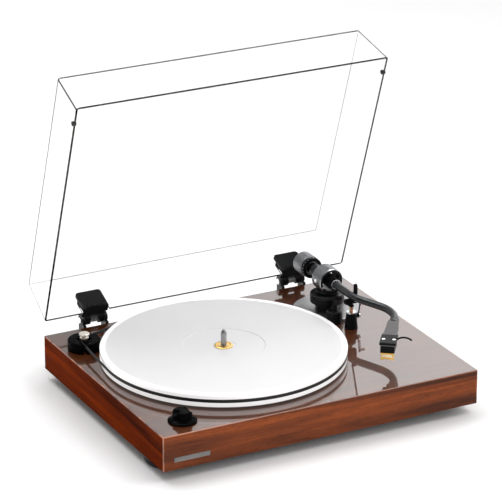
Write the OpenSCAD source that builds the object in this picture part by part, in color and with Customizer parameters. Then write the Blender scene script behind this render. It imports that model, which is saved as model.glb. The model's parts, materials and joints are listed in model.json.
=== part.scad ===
// Belt-drive record player: lacquered walnut plinth, acrylic platter, S-shaped tonearm
// and a clear hinged cover, shown with the cover open and the arm on its rest.
// Millimetres. +Z is up, the front faces -Y, and Z = 0 is the surface it stands on.

/* [Plinth] */
// Width of the plinth, left to right
plinth_w = 420; // [410:1:440]
// Depth of the plinth, front to back
plinth_d = 335; // [335:1:340]
// Height of the plinth without its feet
plinth_h = 44; // [44:1:50]
// Thickness of the plinth's side walls
wall = 10; // [9:0.5:11]
// Thickness of the top board
top_board = 12; // [11:0.5:13]
// Height of each foot below the plinth
foot_h = 13; // [12:0.5:16]
// Radius of each foot
foot_r = 24; // [20:1:25]

/* [Platter] */
// Radius of the platter
platter_r = 150; // [149:0.5:150.5]
// Thickness of the platter
platter_t = 15.6; // [15:0.1:16]
// Gap between the top board and the platter
platter_gap = 2.4; // [2.2:0.1:3]
// Radius of the record spindle
spindle_r = 3.57; // [3.5:0.01:3.6]
// Height of the record spindle above the platter
spindle_rise = 20.6; // [15:0.1:22]
// Width of the flat belt
belt_w = 4; // [3:0.5:4.5]
// Radius of the pulley where the belt runs
pulley_r = 5; // [4:0.1:6]

/* [Cover] */
// Width of the cover at its rim
cover_w = 418; // [416:1:419]
// Depth of the cover at its rim
cover_d = 329.6; // [328:0.1:330]
// Height of the cover
cover_h = 66; // [65:0.5:70]
// Thickness of the clear sheet
cover_t = 2.6; // [2.5:0.1:3]
// Angle at which the open cover stands
open_angle = 70.6; // [60:0.1:75]

/* [Tonearm] */
// Height of the arm's axis above the top board
arm_h = 42; // [42:0.5:43]
// Outer radius of the arm tube
tube_r = 4.75; // [4.5:0.05:4.8]
// Straight length of tube in front of the pivot
tube_straight = 59; // [57:0.5:60]
// Turn of the tube away from the platter, in degrees
tube_out = 21; // [20:0.5:22]
// Direction of the headshell, in degrees towards the platter
shell_angle = 36.5; // [35:0.5:38]
// Outer radius of the gimbal ring
ring_r = 16.5; // [16:0.5:17]
// Radius of the counterweight
weight_r = 14; // [12:0.5:15]

/* [Hidden] */

$fn = 96;
eps = 0.01;
smooth = 32;             // segments used inside hull()
slip = 0.3;              // gap between pieces that move past each other
fit = 0.05;              // radial clearance of a shaft in its bearing

plinth_y = -31;          // centre of the plinth; the open cover reaches further back
deck_z = foot_h + plinth_h;
rear_y = plinth_d / 2;   // rear face of the plinth, from the plinth's centre
under_h = plinth_h - top_board;

// Places on the top board, from the plinth's centre
platter_x = -45;
platter_y = 4;
motor_x = -182;
motor_y = 109;
knob_x = -169.5;
knob_y = -135.5;
arm_x = 139;
arm_y = 80;
post_x = 138;
post_y = 16;
lift_x = 128;
lift_y = 41;
dial_x = 166;
dial_y = 96;

// Feet: two in front, one at the middle of the rear
foot_x = 183;
foot_front_y = -115;
foot_rear_y = 138;
foot_spots = [[-foot_x, foot_front_y], [foot_x, foot_front_y], [0, foot_rear_y]];
stud_r = 4;
stud_l = 13;
block_h = 16;

// Bottom cover and its screws
panel_t = 3;
panel_lip = 4;
panel_w = plinth_w - 2 * wall + 2 * panel_lip;
panel_d = plinth_d - 2 * wall + 2 * panel_lip;

// Platter, hub and belt
platter_top = platter_gap + platter_t;
hub_r = 11.5;
hub_flange_r = 30;
hub_flange_t = 4;
shaft_r = 4;
shaft_drop = 28;
belt_z = 10.4;
belt_t = 0.8;
belt_gap = 0.3;
groove = 1;
belt_big = platter_r - groove + belt_gap;
belt_small = pulley_r + belt_gap;
belt_span = norm([platter_x - motor_x, platter_y - motor_y]);
belt_turn = atan2(platter_y - motor_y, platter_x - motor_x);
belt_half = acos((belt_big - belt_small) / belt_span);

// Hinges and cover; the cover is drawn closed and then swung open
hinge_x = 139;
hinge_y = 177.5;
hinge_z = 6.4;
knuckle_r = 7;
pin_r = 2.5;
rim_z = 1;
cover_rear = 162.8;
side_inset = 5.3;
end_inset = 4.4;
corner_r = 3.6;
lean = atan(end_inset / cover_h);
notch_w = 36;
notch_h = 9;

// Tonearm
block_r = 8.4;
out_r = 60;
in_r = 50;
mid_straight = 29;
front_straight = 12.3;
lap = 0.5;               // overlap of the tube's straight runs and bends
run_step = 0.01;
shell_seat = 12.4;
seat_x = out_r * (1 - cos(tube_out)) + mid_straight * sin(tube_out)
    + in_r * (cos(shell_angle) - cos(tube_out));
seat_y = tube_straight + out_r * sin(tube_out) + mid_straight * cos(tube_out)
    + in_r * (sin(tube_out) + sin(shell_angle));
shell_drop = 3.5;        // mounting face of the headshell below the arm's axis
weight_y = 44;           // front face of the counterweight, behind the pivot
weight_l = 22;
stub_r = 5;
lift_top = 33.4;

module on_deck(x, y, z = 0) {
    translate([x, y + plinth_y, deck_z + z]) children();
}

// The same shape twice, the second turned half round about Z
module both_sides() {
    for (turn = [0, 180]) rotate(turn) children();
}

module swung_open() {
    translate([0, hinge_y, hinge_z])
        rotate([-open_angle, 0, 0])
            translate([0, -hinge_y, -hinge_z])
                children();
}

module rounded_slab(w, d, h, r) {
    translate([-w / 2 + r, -d / 2, 0]) cube([w - 2 * r, d, h]);
    translate([-w / 2, -d / 2 + r, 0]) cube([w, d - 2 * r, h]);
    for (x = [-1, 1], y = [-1, 1])
        translate([x * (w / 2 - r), y * (d / 2 - r), 0]) cylinder(h = h, r = r);
}

// ---------------------------------------------------------------- plinth

module screw_spots() {
    inset = panel_lip / 2 + 0.2;
    for (x = [-150, -50, 50, 150], y = [-1, 1])
        translate([x, y * (panel_d / 2 - inset), 0]) children();
}

module plinth() {
    color([0.36, 0.16, 0.08])
    on_deck(0, 0, -plinth_h)
    difference() {
        rounded_slab(plinth_w, plinth_d, plinth_h, 1.5);
        difference() {
            translate([-plinth_w / 2 + wall, -plinth_d / 2 + wall, -eps])
                cube([plinth_w - 2 * wall, plinth_d - 2 * wall, under_h + eps]);
            for (spot = foot_spots)
                translate([spot[0], spot[1], panel_t])
                    rounded_slab(44, 44, block_h - panel_t, 2);
        }
        translate([-panel_w / 2, -panel_d / 2, -eps])
            cube([panel_w, panel_d, panel_t + eps]);
        screw_spots() translate([0, 0, panel_t - eps]) cylinder(h = 8, r = 1);
        for (spot = foot_spots)
            translate([spot[0], spot[1], -eps]) cylinder(h = block_h + 1, r = stud_r + fit);
        translate([platter_x, platter_y, 0]) cylinder(h = plinth_h + 1, r = 11);
        translate([motor_x, motor_y, 0]) cylinder(h = plinth_h + 1, r = 8);
        translate([arm_x, arm_y, 0]) cylinder(h = plinth_h + 1, r = 8);
        translate([knob_x, knob_y, 0]) cylinder(h = plinth_h + 1, r = 3.5);
        translate([terminal_x - 36, rear_y - wall - 1, terminal_z - 12 + plinth_h])
            cube([72, wall + 2, 24]);
        hinge_screw_spots()
            translate([0, 0, plinth_h]) rotate([90, 0, 0])
                translate([0, 0, -1]) cylinder(h = 9, r = 1.5);
    }
}

module bottom_cover() {
    color([0.07, 0.07, 0.07])
    on_deck(0, 0, -plinth_h)
    difference() {
        translate([-panel_w / 2 + 0.2, -panel_d / 2 + 0.2, 0])
            cube([panel_w - 0.4, panel_d - 0.4, panel_t]);
        for (spot = foot_spots)
            translate([spot[0], spot[1], -1]) cylinder(h = panel_t + 2, r = stud_r + 1);
        screw_spots() translate([0, 0, -1]) cylinder(h = panel_t + 2, r = 1);
        for (i = [-4:4])
            translate([60 + i * 8, -40, -1]) cylinder(h = panel_t + 2, r = 1.2);
    }
}

module bottom_screws() {
    color([0.12, 0.12, 0.13])
    on_deck(0, 0, -plinth_h)
    screw_spots()
    difference() {
        union() {
            translate([0, 0, -1.4]) cylinder(h = 1.4, r = 2.6);
            cylinder(h = 9, r = 1);
        }
        for (turn = [0, 90])
            rotate(turn) translate([-1.6, -0.25, -1.5]) cube([3.2, 0.5, 0.8]);
    }
}

module badge() {
    color([0.75, 0.75, 0.74])
    on_deck(-173, -plinth_d / 2, -31)
    rotate([90, 0, 0])
    rounded_slab(46, 6, 0.6, 1);
}

// A turned cup with a threaded stud, and a soft ring pressed into its underside
module foot(spot) {
    on_deck(spot[0], spot[1], -plinth_h - foot_h) {
        color([0.05, 0.05, 0.05])
            difference() {
                union() {
                    translate([0, 0, 3]) cylinder(h = foot_h - 5.4, r = foot_r);
                    translate([0, 0, foot_h - 2.4])
                        cylinder(h = 2, r1 = foot_r, r2 = foot_r - 2);
                    translate([0, 0, foot_h - 1]) cylinder(h = stud_l + 1, r = stud_r);
                }
                translate([0, 0, foot_h - 6])
                    rotate_extrude() translate([foot_r, 0]) circle(r = 0.8, $fn = 24);
            }
        color([0.12, 0.12, 0.12])
            difference() {
                cylinder(h = 3, r1 = foot_r - 3, r2 = foot_r - 1.5);
                translate([0, 0, -1]) cylinder(h = 2.5, r = foot_r - 12);
            }
    }
}

module foot_front_left() foot(foot_spots[0]);
module foot_front_right() foot(foot_spots[1]);
module foot_rear() foot(foot_spots[2]);

// ------------------------------------------------- electronics and sockets

board_x = -95;
board_y = -110;
board_z = -34;

module control_board() {
    color([0.05, 0.3, 0.16])
    on_deck(board_x, board_y, board_z)
    union() {
        translate([-40, -25, 0]) cube([80, 50, 1.6]);
        for (i = [0:3])
            translate([-30 + i * 12, 12, 1.6]) cylinder(h = 10, r = 4);
        translate([-20, -12, 1.6]) cube([14, 10, 2.5]);
        translate([8, -15, 1.6]) cube([18, 8, 6]);
        translate([18, 4, 1.6]) cube([12, 12, 9]);
    }
}

module board_standoffs() {
    color([0.8, 0.78, 0.7])
    on_deck(board_x, board_y, -plinth_h + panel_t)
    for (x = [-36, 36], y = [-21, 21])
        translate([x, y, 0]) cylinder(h = board_z + plinth_h - panel_t, r = 2.5);
}

module speed_switch() {
    color([0.15, 0.15, 0.17])
    on_deck(knob_x, knob_y, -top_board - 12)
    difference() {
        union() {
            translate([-7, -7, 0]) cube([14, 14, 12]);
            for (i = [-1:1]) translate([i * 4 - 0.5, 7, 3]) cube([1, 5, 0.8]);
        }
        translate([0, 0, 4]) cylinder(h = 10, r = 3 + fit);
    }
}

module knob_shaft() {
    color("silver")
    on_deck(knob_x, knob_y, -top_board - 6)
    cylinder(h = top_board + 8, r = 3);
}

module speed_knob() {
    skirt_r = 17.3;
    body_r = 11.7;
    scoop_r = 10;
    color([0.06, 0.06, 0.06])
    on_deck(knob_x, knob_y, 0.4)
    difference() {
        union() {
            cylinder(h = 1.6, r = skirt_r);
            translate([0, 0, 1.6]) cylinder(h = 2, r1 = skirt_r, r2 = body_r + 0.8);
            translate([0, 0, 3.6]) cylinder(h = 8.4, r = body_r);
            translate([0, 0, 12]) cylinder(h = 1, r1 = body_r, r2 = body_r - 1);
        }
        translate([0, 0, -1]) cylinder(h = 2.6, r = 3);
        both_sides() translate([12, 0, 18]) sphere(r = scoop_r);
    }
}

terminal_x = -72;
terminal_z = -22;
jack_r = 4.15;
jack_l = 8.5;

module on_terminal(x) {
    on_deck(terminal_x + x, rear_y, terminal_z)
        rotate([-90, 0, 0]) children();
}

module terminal_plate() {
    color([0.06, 0.06, 0.06])
    difference() {
        union() {
            on_terminal(0) rounded_slab(84, 32, 2, 2);
            for (x = [12, 20]) on_terminal(x) translate([-3.6, -7, -6]) cube([7.2, 14, 6.5]);
        }
        for (x = [-30, -12]) on_terminal(x) translate([0, 0, -1]) cylinder(h = 4, r = jack_r);
        on_terminal(4) translate([0, 0, -1]) cylinder(h = 4, r = 2);
        on_terminal(30) translate([0, 0, -1]) cylinder(h = 4, r = 4.5);
        for (x = [12, 20]) on_terminal(x) translate([-2, -5, -3]) cube([4, 10, 6]);
    }
}

module line_jacks() {
    color([0.8, 0.66, 0.3])
    for (x = [-30, -12])
        on_terminal(x)
        difference() {
            union() {
                translate([0, 0, -10]) cylinder(h = 12 + jack_l, r = jack_r);
                translate([0, 0, -2]) cylinder(h = 2, r = 6);
                translate([0, 0, 2]) cylinder(h = 1.2, r = 5.4);
            }
            translate([0, 0, jack_l - 6]) cylinder(h = 10, r = 1.65);
        }
}

module ground_post() {
    color("silver")
    on_terminal(4)
    union() {
        translate([0, 0, -5]) cylinder(h = 17, r = 2);
        translate([0, 0, 2]) cylinder(h = 1.5, r = 4);
    }
}

module ground_nut() {
    color([0.85, 0.85, 0.85])
    on_terminal(4)
    difference() {
        translate([0, 0, 3.8]) cylinder(h = 6, r = 4.5);
        translate([0, 0, 3]) cylinder(h = 8, r = 2 + fit);
        for (i = [0:17])
            rotate(i * 20) translate([4.5, 0, 3]) cylinder(h = 8, r = 0.35, $fn = 16);
    }
}

module power_socket() {
    color([0.08, 0.08, 0.08])
    on_terminal(30)
    difference() {
        union() {
            translate([0, 0, -11]) cylinder(h = 13, r = 4.5);
            translate([0, 0, 2]) cylinder(h = 1, r = 6);
        }
        difference() {
            translate([0, 0, -7]) cylinder(h = 11, r = 2.8);
            translate([0, 0, -8]) cylinder(h = 9.5, r = 1.05);
        }
    }
}

module slider(x) {
    color([0.1, 0.1, 0.1])
    on_terminal(x)
    union() {
        translate([-1.6, -4.6, -2]) cube([3.2, 5, 5]);
        translate([-1.6, -3, 3]) cube([3.2, 2, 1.4]);
    }
}

module line_switch_slider() slider(12);
module auto_stop_slider() slider(20);

// ------------------------------------------------------- motor and belt

module motor() {
    color([0.6, 0.6, 0.62])
    on_deck(motor_x, motor_y, -top_board - 20)
    difference() {
        union() {
            cylinder(h = 18, r = 14);
            translate([0, 0, 18]) cylinder(h = 3, r = 5);
        }
        translate([0, 0, 4]) cylinder(h = 30, r = 1 + fit);
    }
}

module motor_bracket() {
    color([0.3, 0.3, 0.32])
    on_deck(motor_x, motor_y, -top_board - 2)
    difference() {
        union() {
            cylinder(h = 2, r = 16);
            translate([0, -30, 0]) cube([12, 60, 2]);
        }
        translate([0, 0, -1]) cylinder(h = 4, r = 5);
        for (y = [-25, 25]) translate([6, y, -1]) cylinder(h = 4, r = 1.6);
    }
}

guard_r = 20.5;
guard_h = 13;
slot_w = 4.4;

// A low round pod, split by the two runs of the belt
module motor_guard() {
    color([0.05, 0.05, 0.05])
    on_deck(motor_x, motor_y, 0)
    difference() {
        union() {
            cylinder(h = guard_h - 1, r = guard_r);
            translate([0, 0, guard_h - 1]) cylinder(h = 1, r1 = guard_r, r2 = guard_r - 1);
        }
        translate([0, 0, -1]) cylinder(h = guard_h + 2, r = 8.6);
        for (side = [-1, 1])
            rotate(belt_turn + side * (90 - belt_half))
                translate([0, side * (belt_small + belt_t / 2) - slot_w / 2, -1])
                    cube([guard_r + 1, slot_w, guard_h + 2]);
    }
}

module motor_pulley() {
    color([0.82, 0.82, 0.8])
    on_deck(motor_x, motor_y, 0)
    union() {
        translate([0, 0, -top_board - 10]) cylinder(h = top_board + 17, r = 1);
        translate([0, 0, 6]) cylinder(h = 1.4, r = pulley_r + 1.4);
        translate([0, 0, 7.4]) cylinder(h = 6, r = pulley_r);
        translate([0, 0, 13.4]) cylinder(h = 1.2, r = pulley_r + 0.6);
        translate([0, 0, 14.6]) cylinder(h = 3.4, r = 2.8);
        translate([0, 0, 18]) cylinder(h = 1.6, r = 6.5);
        translate([0, 0, 19.6]) cylinder(h = 0.6, r1 = 6.5, r2 = 5.7);
    }
}

function arc_points(x, r, from, to, steps) =
    [for (i = [0:steps]) let (a = from + (to - from) * i / steps) [x + r * cos(a), r * sin(a)]];

// The belt's line: round the pulley at the origin, then round the platter
function belt_line(grow) = concat(
    arc_points(0, belt_small + grow, 180 - belt_half, 180 + belt_half, 24),
    arc_points(belt_span, belt_big + grow, belt_half - 180, 180 - belt_half, 120)
);

module drive_belt() {
    color([0.03, 0.03, 0.03])
    on_deck(motor_x, motor_y, belt_z - belt_w / 2)
    rotate(belt_turn)
    difference() {
        linear_extrude(height = belt_w) polygon(belt_line(belt_t));
        translate([0, 0, -1]) linear_extrude(height = belt_w + 2) polygon(belt_line(0));
    }
}

// ------------------------------------------------------ bearing and platter

module bearing_housing() {
    color([0.45, 0.45, 0.47])
    on_deck(platter_x, platter_y, 0)
    difference() {
        union() {
            translate([0, 0, -shaft_drop - 8]) cylinder(h = shaft_drop + 8, r = 11);
            cylinder(h = 1.2, r = 20);
            translate([0, 0, -top_board - 3]) cylinder(h = 3, r = 18);
        }
        translate([0, 0, -shaft_drop - 4]) cylinder(h = shaft_drop + 10, r = 7);
    }
}

module bearing_bush() {
    color([0.72, 0.5, 0.25])
    on_deck(platter_x, platter_y, -shaft_drop + 2)
    difference() {
        cylinder(h = shaft_drop - 2, r = 7);
        translate([0, 0, -1]) cylinder(h = shaft_drop + 2, r = shaft_r + fit);
    }
}

module thrust_ball() {
    color("silver")
    on_deck(platter_x, platter_y, -shaft_drop - 2)
    sphere(r = 2);
}

module platter_hub() {
    color([0.85, 0.62, 0.25])
    on_deck(platter_x, platter_y, 0)
    difference() {
        union() {
            translate([0, 0, platter_gap]) cylinder(h = hub_flange_t, r = hub_flange_r);
            translate([0, 0, platter_gap]) cylinder(h = platter_t + 0.3, r = hub_r);
        }
        translate([0, 0, -1]) cylinder(h = 40, r = shaft_r);
    }
}

module spindle() {
    rise_z = platter_top + 0.3;
    color([0.85, 0.85, 0.86])
    on_deck(platter_x, platter_y, 0)
    union() {
        translate([0, 0, -shaft_drop + 0.05]) cylinder(h = shaft_drop + rise_z, r = shaft_r);
        cylinder(h = rise_z + 0.4 + spindle_rise - 6, r = spindle_r);
        translate([0, 0, rise_z + 0.4 + spindle_rise - 6])
            cylinder(h = 3.2, r1 = spindle_r, r2 = 2.2);
        translate([0, 0, platter_top + spindle_rise - 2.6]) sphere(r = 2.25);
    }
}

module platter() {
    color([0.93, 0.94, 0.95])
    on_deck(platter_x, platter_y, platter_gap)
    difference() {
        union() {
            translate([0, 0, 0.8]) cylinder(h = platter_t - 1.6, r = platter_r, $fn = 256);
            cylinder(h = 0.8, r1 = platter_r - 0.8, r2 = platter_r, $fn = 256);
            translate([0, 0, platter_t - 0.8])
                cylinder(h = 0.8, r1 = platter_r, r2 = platter_r - 0.8, $fn = 256);
        }
        translate([0, 0, -1]) cylinder(h = platter_t + 2, r = hub_r);
        translate([0, 0, -1]) cylinder(h = hub_flange_t + 1, r = hub_flange_r);
        translate([0, 0, platter_t - 0.8]) cylinder(h = 2, r = 50);
        translate([0, 0, platter_t - 1.3]) cylinder(h = 2, r = 15);
        translate([0, 0, belt_z - platter_gap - belt_w / 2 - 0.5])
            difference() {
                cylinder(h = belt_w + 1, r = platter_r + 1);
                translate([0, 0, -1]) cylinder(h = belt_w + 3, r = platter_r - groove, $fn = 256);
            }
    }
}

// --------------------------------------------------------- hinges and cover

module hinge_spots() {
    for (side = [-1, 1]) translate([side * hinge_x, 0, 0]) children();
}

module hinge_screw_spots() {
    for (side = [-1, 1], x = [-9, 9], z = [-14, -26])
        translate([side * hinge_x + x, rear_y, z]) children();
}

module hinge_brackets() {
    color([0.05, 0.05, 0.05])
    on_deck(0, 0)
    difference() {
        hinge_spots()
        union() {
            translate([-17, rear_y, -32]) cube([34, 3, 30]);
            for (x = [-17, 13.3]) {
                translate([x, hinge_y, hinge_z])
                    rotate([0, 90, 0]) cylinder(h = 3.7, r = knuckle_r);
                translate([x, rear_y + 0.5, -12]) cube([3.7, 15, 14]);
            }
        }
        hinge_spots()
            translate([-20, hinge_y, hinge_z]) rotate([0, 90, 0]) cylinder(h = 40, r = pin_r);
        hinge_screw_spots()
            rotate([-90, 0, 0]) translate([0, 0, -1]) cylinder(h = 5, r = 1.5);
    }
}

module hinge_screws() {
    color([0.15, 0.15, 0.15])
    on_deck(0, 0)
    hinge_screw_spots()
    rotate([-90, 0, 0])
    difference() {
        union() {
            translate([0, 0, -7]) cylinder(h = 10, r = 1.5);
            translate([0, 0, 3]) cylinder(h = 1.6, r = 3);
        }
        for (turn = [0, 90])
            rotate(turn) translate([-2, -0.3, 3.8]) cube([4, 0.6, 1]);
    }
}

module hinge_pins() {
    color("silver")
    on_deck(0, hinge_y, hinge_z)
    hinge_spots()
    rotate([0, 90, 0])
    union() {
        translate([0, 0, -17.6]) cylinder(h = 35.2, r = pin_r);
        translate([0, 0, 17]) cylinder(h = 1.6, r = 4);
        translate([0, 0, -18.6]) cylinder(h = 1.6, r = 4);
    }
}

coil_turns = 5;
coil_rings = 12;
coil_sides = 6;
coil_wire = 0.8;
coil_mid = 4.5;
coil_pitch = 1.9;

function coil_point(i, j) =
    let (
        a = 360 * i / coil_rings,
        b = 360 * j / coil_sides,
        r = coil_mid + coil_wire * cos(b)
    )
    [r * cos(a), r * sin(a), coil_pitch * i / coil_rings + coil_wire * sin(b)];

module coil() {
    last = coil_turns * coil_rings;
    points = [for (i = [0:last], j = [0:coil_sides - 1]) coil_point(i, j)];
    walls = [
        for (i = [0:last - 1], j = [0:coil_sides - 1])
            let (k = (j + 1) % coil_sides, a = i * coil_sides, b = a + coil_sides)
            [a + j, b + j, b + k, a + k]
    ];
    first_cap = [for (j = [0:coil_sides - 1]) j];
    last_cap = [for (j = [coil_sides - 1:-1:0]) last * coil_sides + j];
    polyhedron(points = points, faces = concat(walls, [first_cap, last_cap]), convexity = 10);
}

module hinge_springs() {
    color([0.7, 0.7, 0.72])
    on_deck(0, hinge_y, hinge_z)
    hinge_spots()
    rotate([0, 90, 0])
    translate([0, 0, -coil_turns * coil_pitch / 2]) coil();
}

grip_w = 34;
grip_t = 3.5;
grip_h = 31;
pocket = cover_t + 2 * slip;

module on_wall() {
    translate([0, cover_rear, rim_z]) rotate([lean, 0, 0]) children();
}

module grip_plate(h, r) {
    rotate([90, 0, 0])
    linear_extrude(height = grip_t)
    union() {
        translate([-grip_w / 2, 0]) square([grip_w, h - r]);
        translate([-grip_w / 2 + r, 0]) square([grip_w - 2 * r, h]);
        for (side = [-1, 1]) translate([side * (grip_w / 2 - r), h - r]) circle(r = r);
    }
}

module hinge_grips() {
    inner_y = -cover_t - slip;
    color([0.06, 0.06, 0.06])
    on_deck(0, 0)
    swung_open()
    difference() {
        hinge_spots()
        union() {
            on_wall() {
                translate([0, inner_y, 2]) grip_plate(grip_h - 2, 4);
                translate([0, slip + grip_t, 2]) grip_plate(grip_h - 9, 4);
                translate([-grip_w / 2, inner_y - grip_t, 2])
                    cube([grip_w, pocket + 2 * grip_t, 5]);
                for (x = [-11, -6.5, -2, 2.5, 7])
                    translate([x, inner_y - grip_t - 1.2, 3]) cube([3, 2, 4]);
                translate([-12, slip + grip_t - 1, 2]) cube([24, 9, 6]);
            }
            translate([-12, hinge_y, hinge_z]) rotate([0, 90, 0]) cylinder(h = 24, r = knuckle_r);
        }
        hinge_spots() {
            translate([-20, hinge_y, hinge_z])
                rotate([0, 90, 0]) cylinder(h = 40, r = pin_r + fit);
            translate([-6, hinge_y, hinge_z])
                rotate([0, 90, 0]) cylinder(h = 12, r = knuckle_r + 1);
        }
    }
}

module cover_slice(w, d, r) {
    for (x = [-1, 1], y = [-1, 1])
        translate([x * (w / 2 - r), y * (d / 2 - r), 0]) cylinder(h = 0.1, r = r, $fn = smooth);
}

module cover_solid(shrink, top_z) {
    top_w = cover_w - 2 * side_inset - 2 * shrink;
    top_d = cover_d - 2 * end_inset - 2 * shrink;
    hull() {
        cover_slice(cover_w - 2 * shrink, cover_d - 2 * shrink, corner_r - shrink);
        translate([0, 0, top_z - 2.1]) cover_slice(top_w, top_d, corner_r - shrink);
        translate([0, 0, top_z - 0.1]) cover_slice(top_w - 3, top_d - 3, corner_r - shrink);
    }
}

module dust_cover() {
    color([0.8, 0.85, 0.88, 0.3])
    on_deck(0, 0)
    swung_open()
    difference() {
        translate([0, cover_rear - cover_d / 2, rim_z])
        difference() {
            cover_solid(0, cover_h);
            translate([0, 0, -eps]) cover_solid(cover_t, cover_h - cover_t);
        }
        hinge_spots()
            translate([-notch_w / 2, cover_rear - 8, 0]) cube([notch_w, 12, notch_h]);
    }
}

bumper_y = -142;
bumper_r = 3;
bumper_w = 4.6;
bumper_up = 2.3;         // its axis above the rim

// Each clips over the rim of a side wall, its slot leaning with the wall
module cover_bumpers() {
    side_lean = atan(side_inset / cover_h);
    slot_w = cover_t + 2 * fit;
    color([0.04, 0.04, 0.04])
    on_deck(0, 0)
    swung_open()
    for (side = [-1, 1])
        translate([side * (cover_w - cover_t) / 2, bumper_y, rim_z])
        difference() {
            translate([-bumper_w / 2, 0, bumper_up])
                rotate([0, 90, 0]) cylinder(h = bumper_w, r = bumper_r);
            rotate([0, -side * side_lean, 0])
                translate([-slot_w / 2, -5, -0.15]) cube([slot_w, 10, 10]);
        }
}

// ------------------------------------------------------------ arm base

disc_r = 43;
disc_t = 4;
puck_r = 21.5;
puck_z = 12.5;
puck_top = 24;

module arm_base() {
    color([0.62, 0.63, 0.64])
    on_deck(arm_x, arm_y, 0)
    difference() {
        union() {
            cylinder(h = disc_t - 0.8, r = disc_r);
            translate([0, 0, disc_t - 0.8]) cylinder(h = 0.8, r1 = disc_r, r2 = disc_r - 0.8);
            translate([dial_x - arm_x, dial_y - arm_y, disc_t - 1]) cylinder(h = 9, r = 5);
            translate([dial_x - arm_x, dial_y - arm_y, disc_t - 1]) cylinder(h = 13, r = 1.5);
        }
        translate([0, 0, -1]) cylinder(h = disc_t + 2, r = shaft_r + 0.5);
        translate([lift_x - arm_x, lift_y - arm_y, -1]) cylinder(h = disc_t + 2, r = 10.5);
    }
}

module arm_column() {
    color([0.07, 0.07, 0.08])
    on_deck(arm_x, arm_y, 0)
    difference() {
        union() {
            translate([0, 0, disc_t]) cylinder(h = puck_z - disc_t, r = 15);
            translate([0, 0, puck_z]) cylinder(h = puck_top - puck_z - 1, r = puck_r);
            translate([0, 0, puck_top - 1]) cylinder(h = 1, r1 = puck_r, r2 = puck_r - 1);
        }
        translate([0, 0, -1]) cylinder(h = puck_top + 2, r = shaft_r + 0.5);
    }
}

module arm_bearing() {
    color([0.55, 0.55, 0.57])
    on_deck(arm_x, arm_y, 0)
    difference() {
        union() {
            translate([0, 0, -24]) cylinder(h = 24, r = 8);
            translate([0, 0, -top_board - 3]) cylinder(h = 3, r = 13);
        }
        translate([0, 0, -25]) cylinder(h = 30, r = shaft_r + fit);
    }
}

module rest_post() {
    color([0.06, 0.06, 0.06])
    on_deck(post_x, post_y, 0)
    union() {
        cylinder(h = 20, r1 = 8.4, r2 = 6.2);
        translate([4, 0, lever_z]) rotate([0, 90, 0]) cylinder(h = 5.5, r = 2.5);
        translate([4, 0, lever_z]) rotate([0, 90, 0]) cylinder(h = 8.6, r = 1.2);
    }
}

rest_y = 20;
rest_gap = 0.8;          // round the tube, which dips as the arm tilts
lip_top = arm_h - tube_r - rest_gap;
prong_t = 2.6;
prong_top = 52.5;

module arm_rest() {
    cradle = tube_r + rest_gap;
    color([0.1, 0.1, 0.11])
    on_deck(arm_x, rest_y, 0)
    difference() {
        union() {
            translate([-1, post_y - rest_y, 20]) cylinder(h = 1.6, r = 6);
            translate([-1, post_y - rest_y, 21]) cylinder(h = 10, r = 2.2);
            translate([-3.2, post_y - rest_y - 2.2, 28]) cube([4.4, rest_y - post_y + 5.2, 3]);
            translate([-3.2, -3.4, 28]) cube([4.4, 6.4, 8]);
            translate([-8, -3, 31]) cube([16, 6, 6]);
            translate([cradle, -3, 31]) cube([prong_t, 6, prong_top - 31]);
            translate([cradle, 0, prong_top]) rotate([0, 90, 0]) cylinder(h = prong_t, r = 3);
        }
        translate([0, 0, arm_h]) rotate([90, 0, 0])
            translate([0, 0, -4]) cylinder(h = 8, r = cradle);
        translate([-20, -4, lip_top]) cube([20, 8, 20]);
    }
}

module lift_cylinder() {
    color([0.07, 0.07, 0.07])
    on_deck(lift_x, lift_y, 0)
    difference() {
        union() {
            cylinder(h = 15, r = 10);
            translate([0, 0, 15]) cylinder(h = 1, r1 = 10, r2 = 9);
            translate([0, 0, 16]) cylinder(h = 6, r = 4);
        }
        translate([0, 0, 3]) cylinder(h = 30, r = 2 + fit);
    }
}

arc_r = 40.5;
arc_from = -90 - 52;
arc_span = 49;

module lift_bar() {
    color([0.55, 0.55, 0.56])
    union() {
        on_deck(arm_x, arm_y, lift_top - 4)
        rotate(arc_from)
        rotate_extrude(angle = arc_span)
        translate([arc_r - 1.6, 0]) square([3.2, 4]);
        on_deck(lift_x, lift_y, 8) cylinder(h = lift_top - 10, r = 2);
    }
}

lever_x = 147.8;
lever_z = 15;

module cue_lever() {
    color([0.85, 0.85, 0.86])
    on_deck(lever_x, post_y, lever_z)
    difference() {
        union() {
            rotate([0, 90, 0]) cylinder(h = 2.2, r = 3.4);
            rotate([14, 0, 0]) {
                translate([0, -1.6, 0]) cube([2.2, 3.2, 17]);
                translate([0, 0, 17]) rotate([0, 90, 0]) cylinder(h = 7, r = 2.2);
            }
        }
        translate([-1, 0, 0]) rotate([0, 90, 0]) cylinder(h = 4, r = 1.2 + fit);
    }
}

module anti_skate_dial() {
    color([0.8, 0.8, 0.8])
    on_deck(dial_x, dial_y, disc_t + 8 + slip)
    difference() {
        union() {
            cylinder(h = 6, r = 7);
            translate([0, 0, 6]) cylinder(h = 0.8, r1 = 7, r2 = 6.2);
        }
        for (i = [0:23])
            rotate(i * 15) translate([7, 0, -1]) cylinder(h = 9, r = 0.4, $fn = 16);
        translate([-0.4, 2, 6.2]) cube([0.8, 4, 1]);
        translate([0, 0, -1]) cylinder(h = 5, r = 1.5 + fit);
    }
}

// ------------------------------------------------------------- tonearm

module gimbal_base() {
    color([0.06, 0.06, 0.06])
    on_deck(arm_x, arm_y, 0)
    difference() {
        union() {
            translate([0, 0, puck_top + slip]) cylinder(h = 5, r = 14);
            translate([0, 0, -20]) cylinder(h = 20 + puck_top + 1, r = shaft_r);
        }
        translate([0, 20, arm_h]) rotate([90, 0, 0]) cylinder(h = 40, r = ring_r);
    }
}

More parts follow.
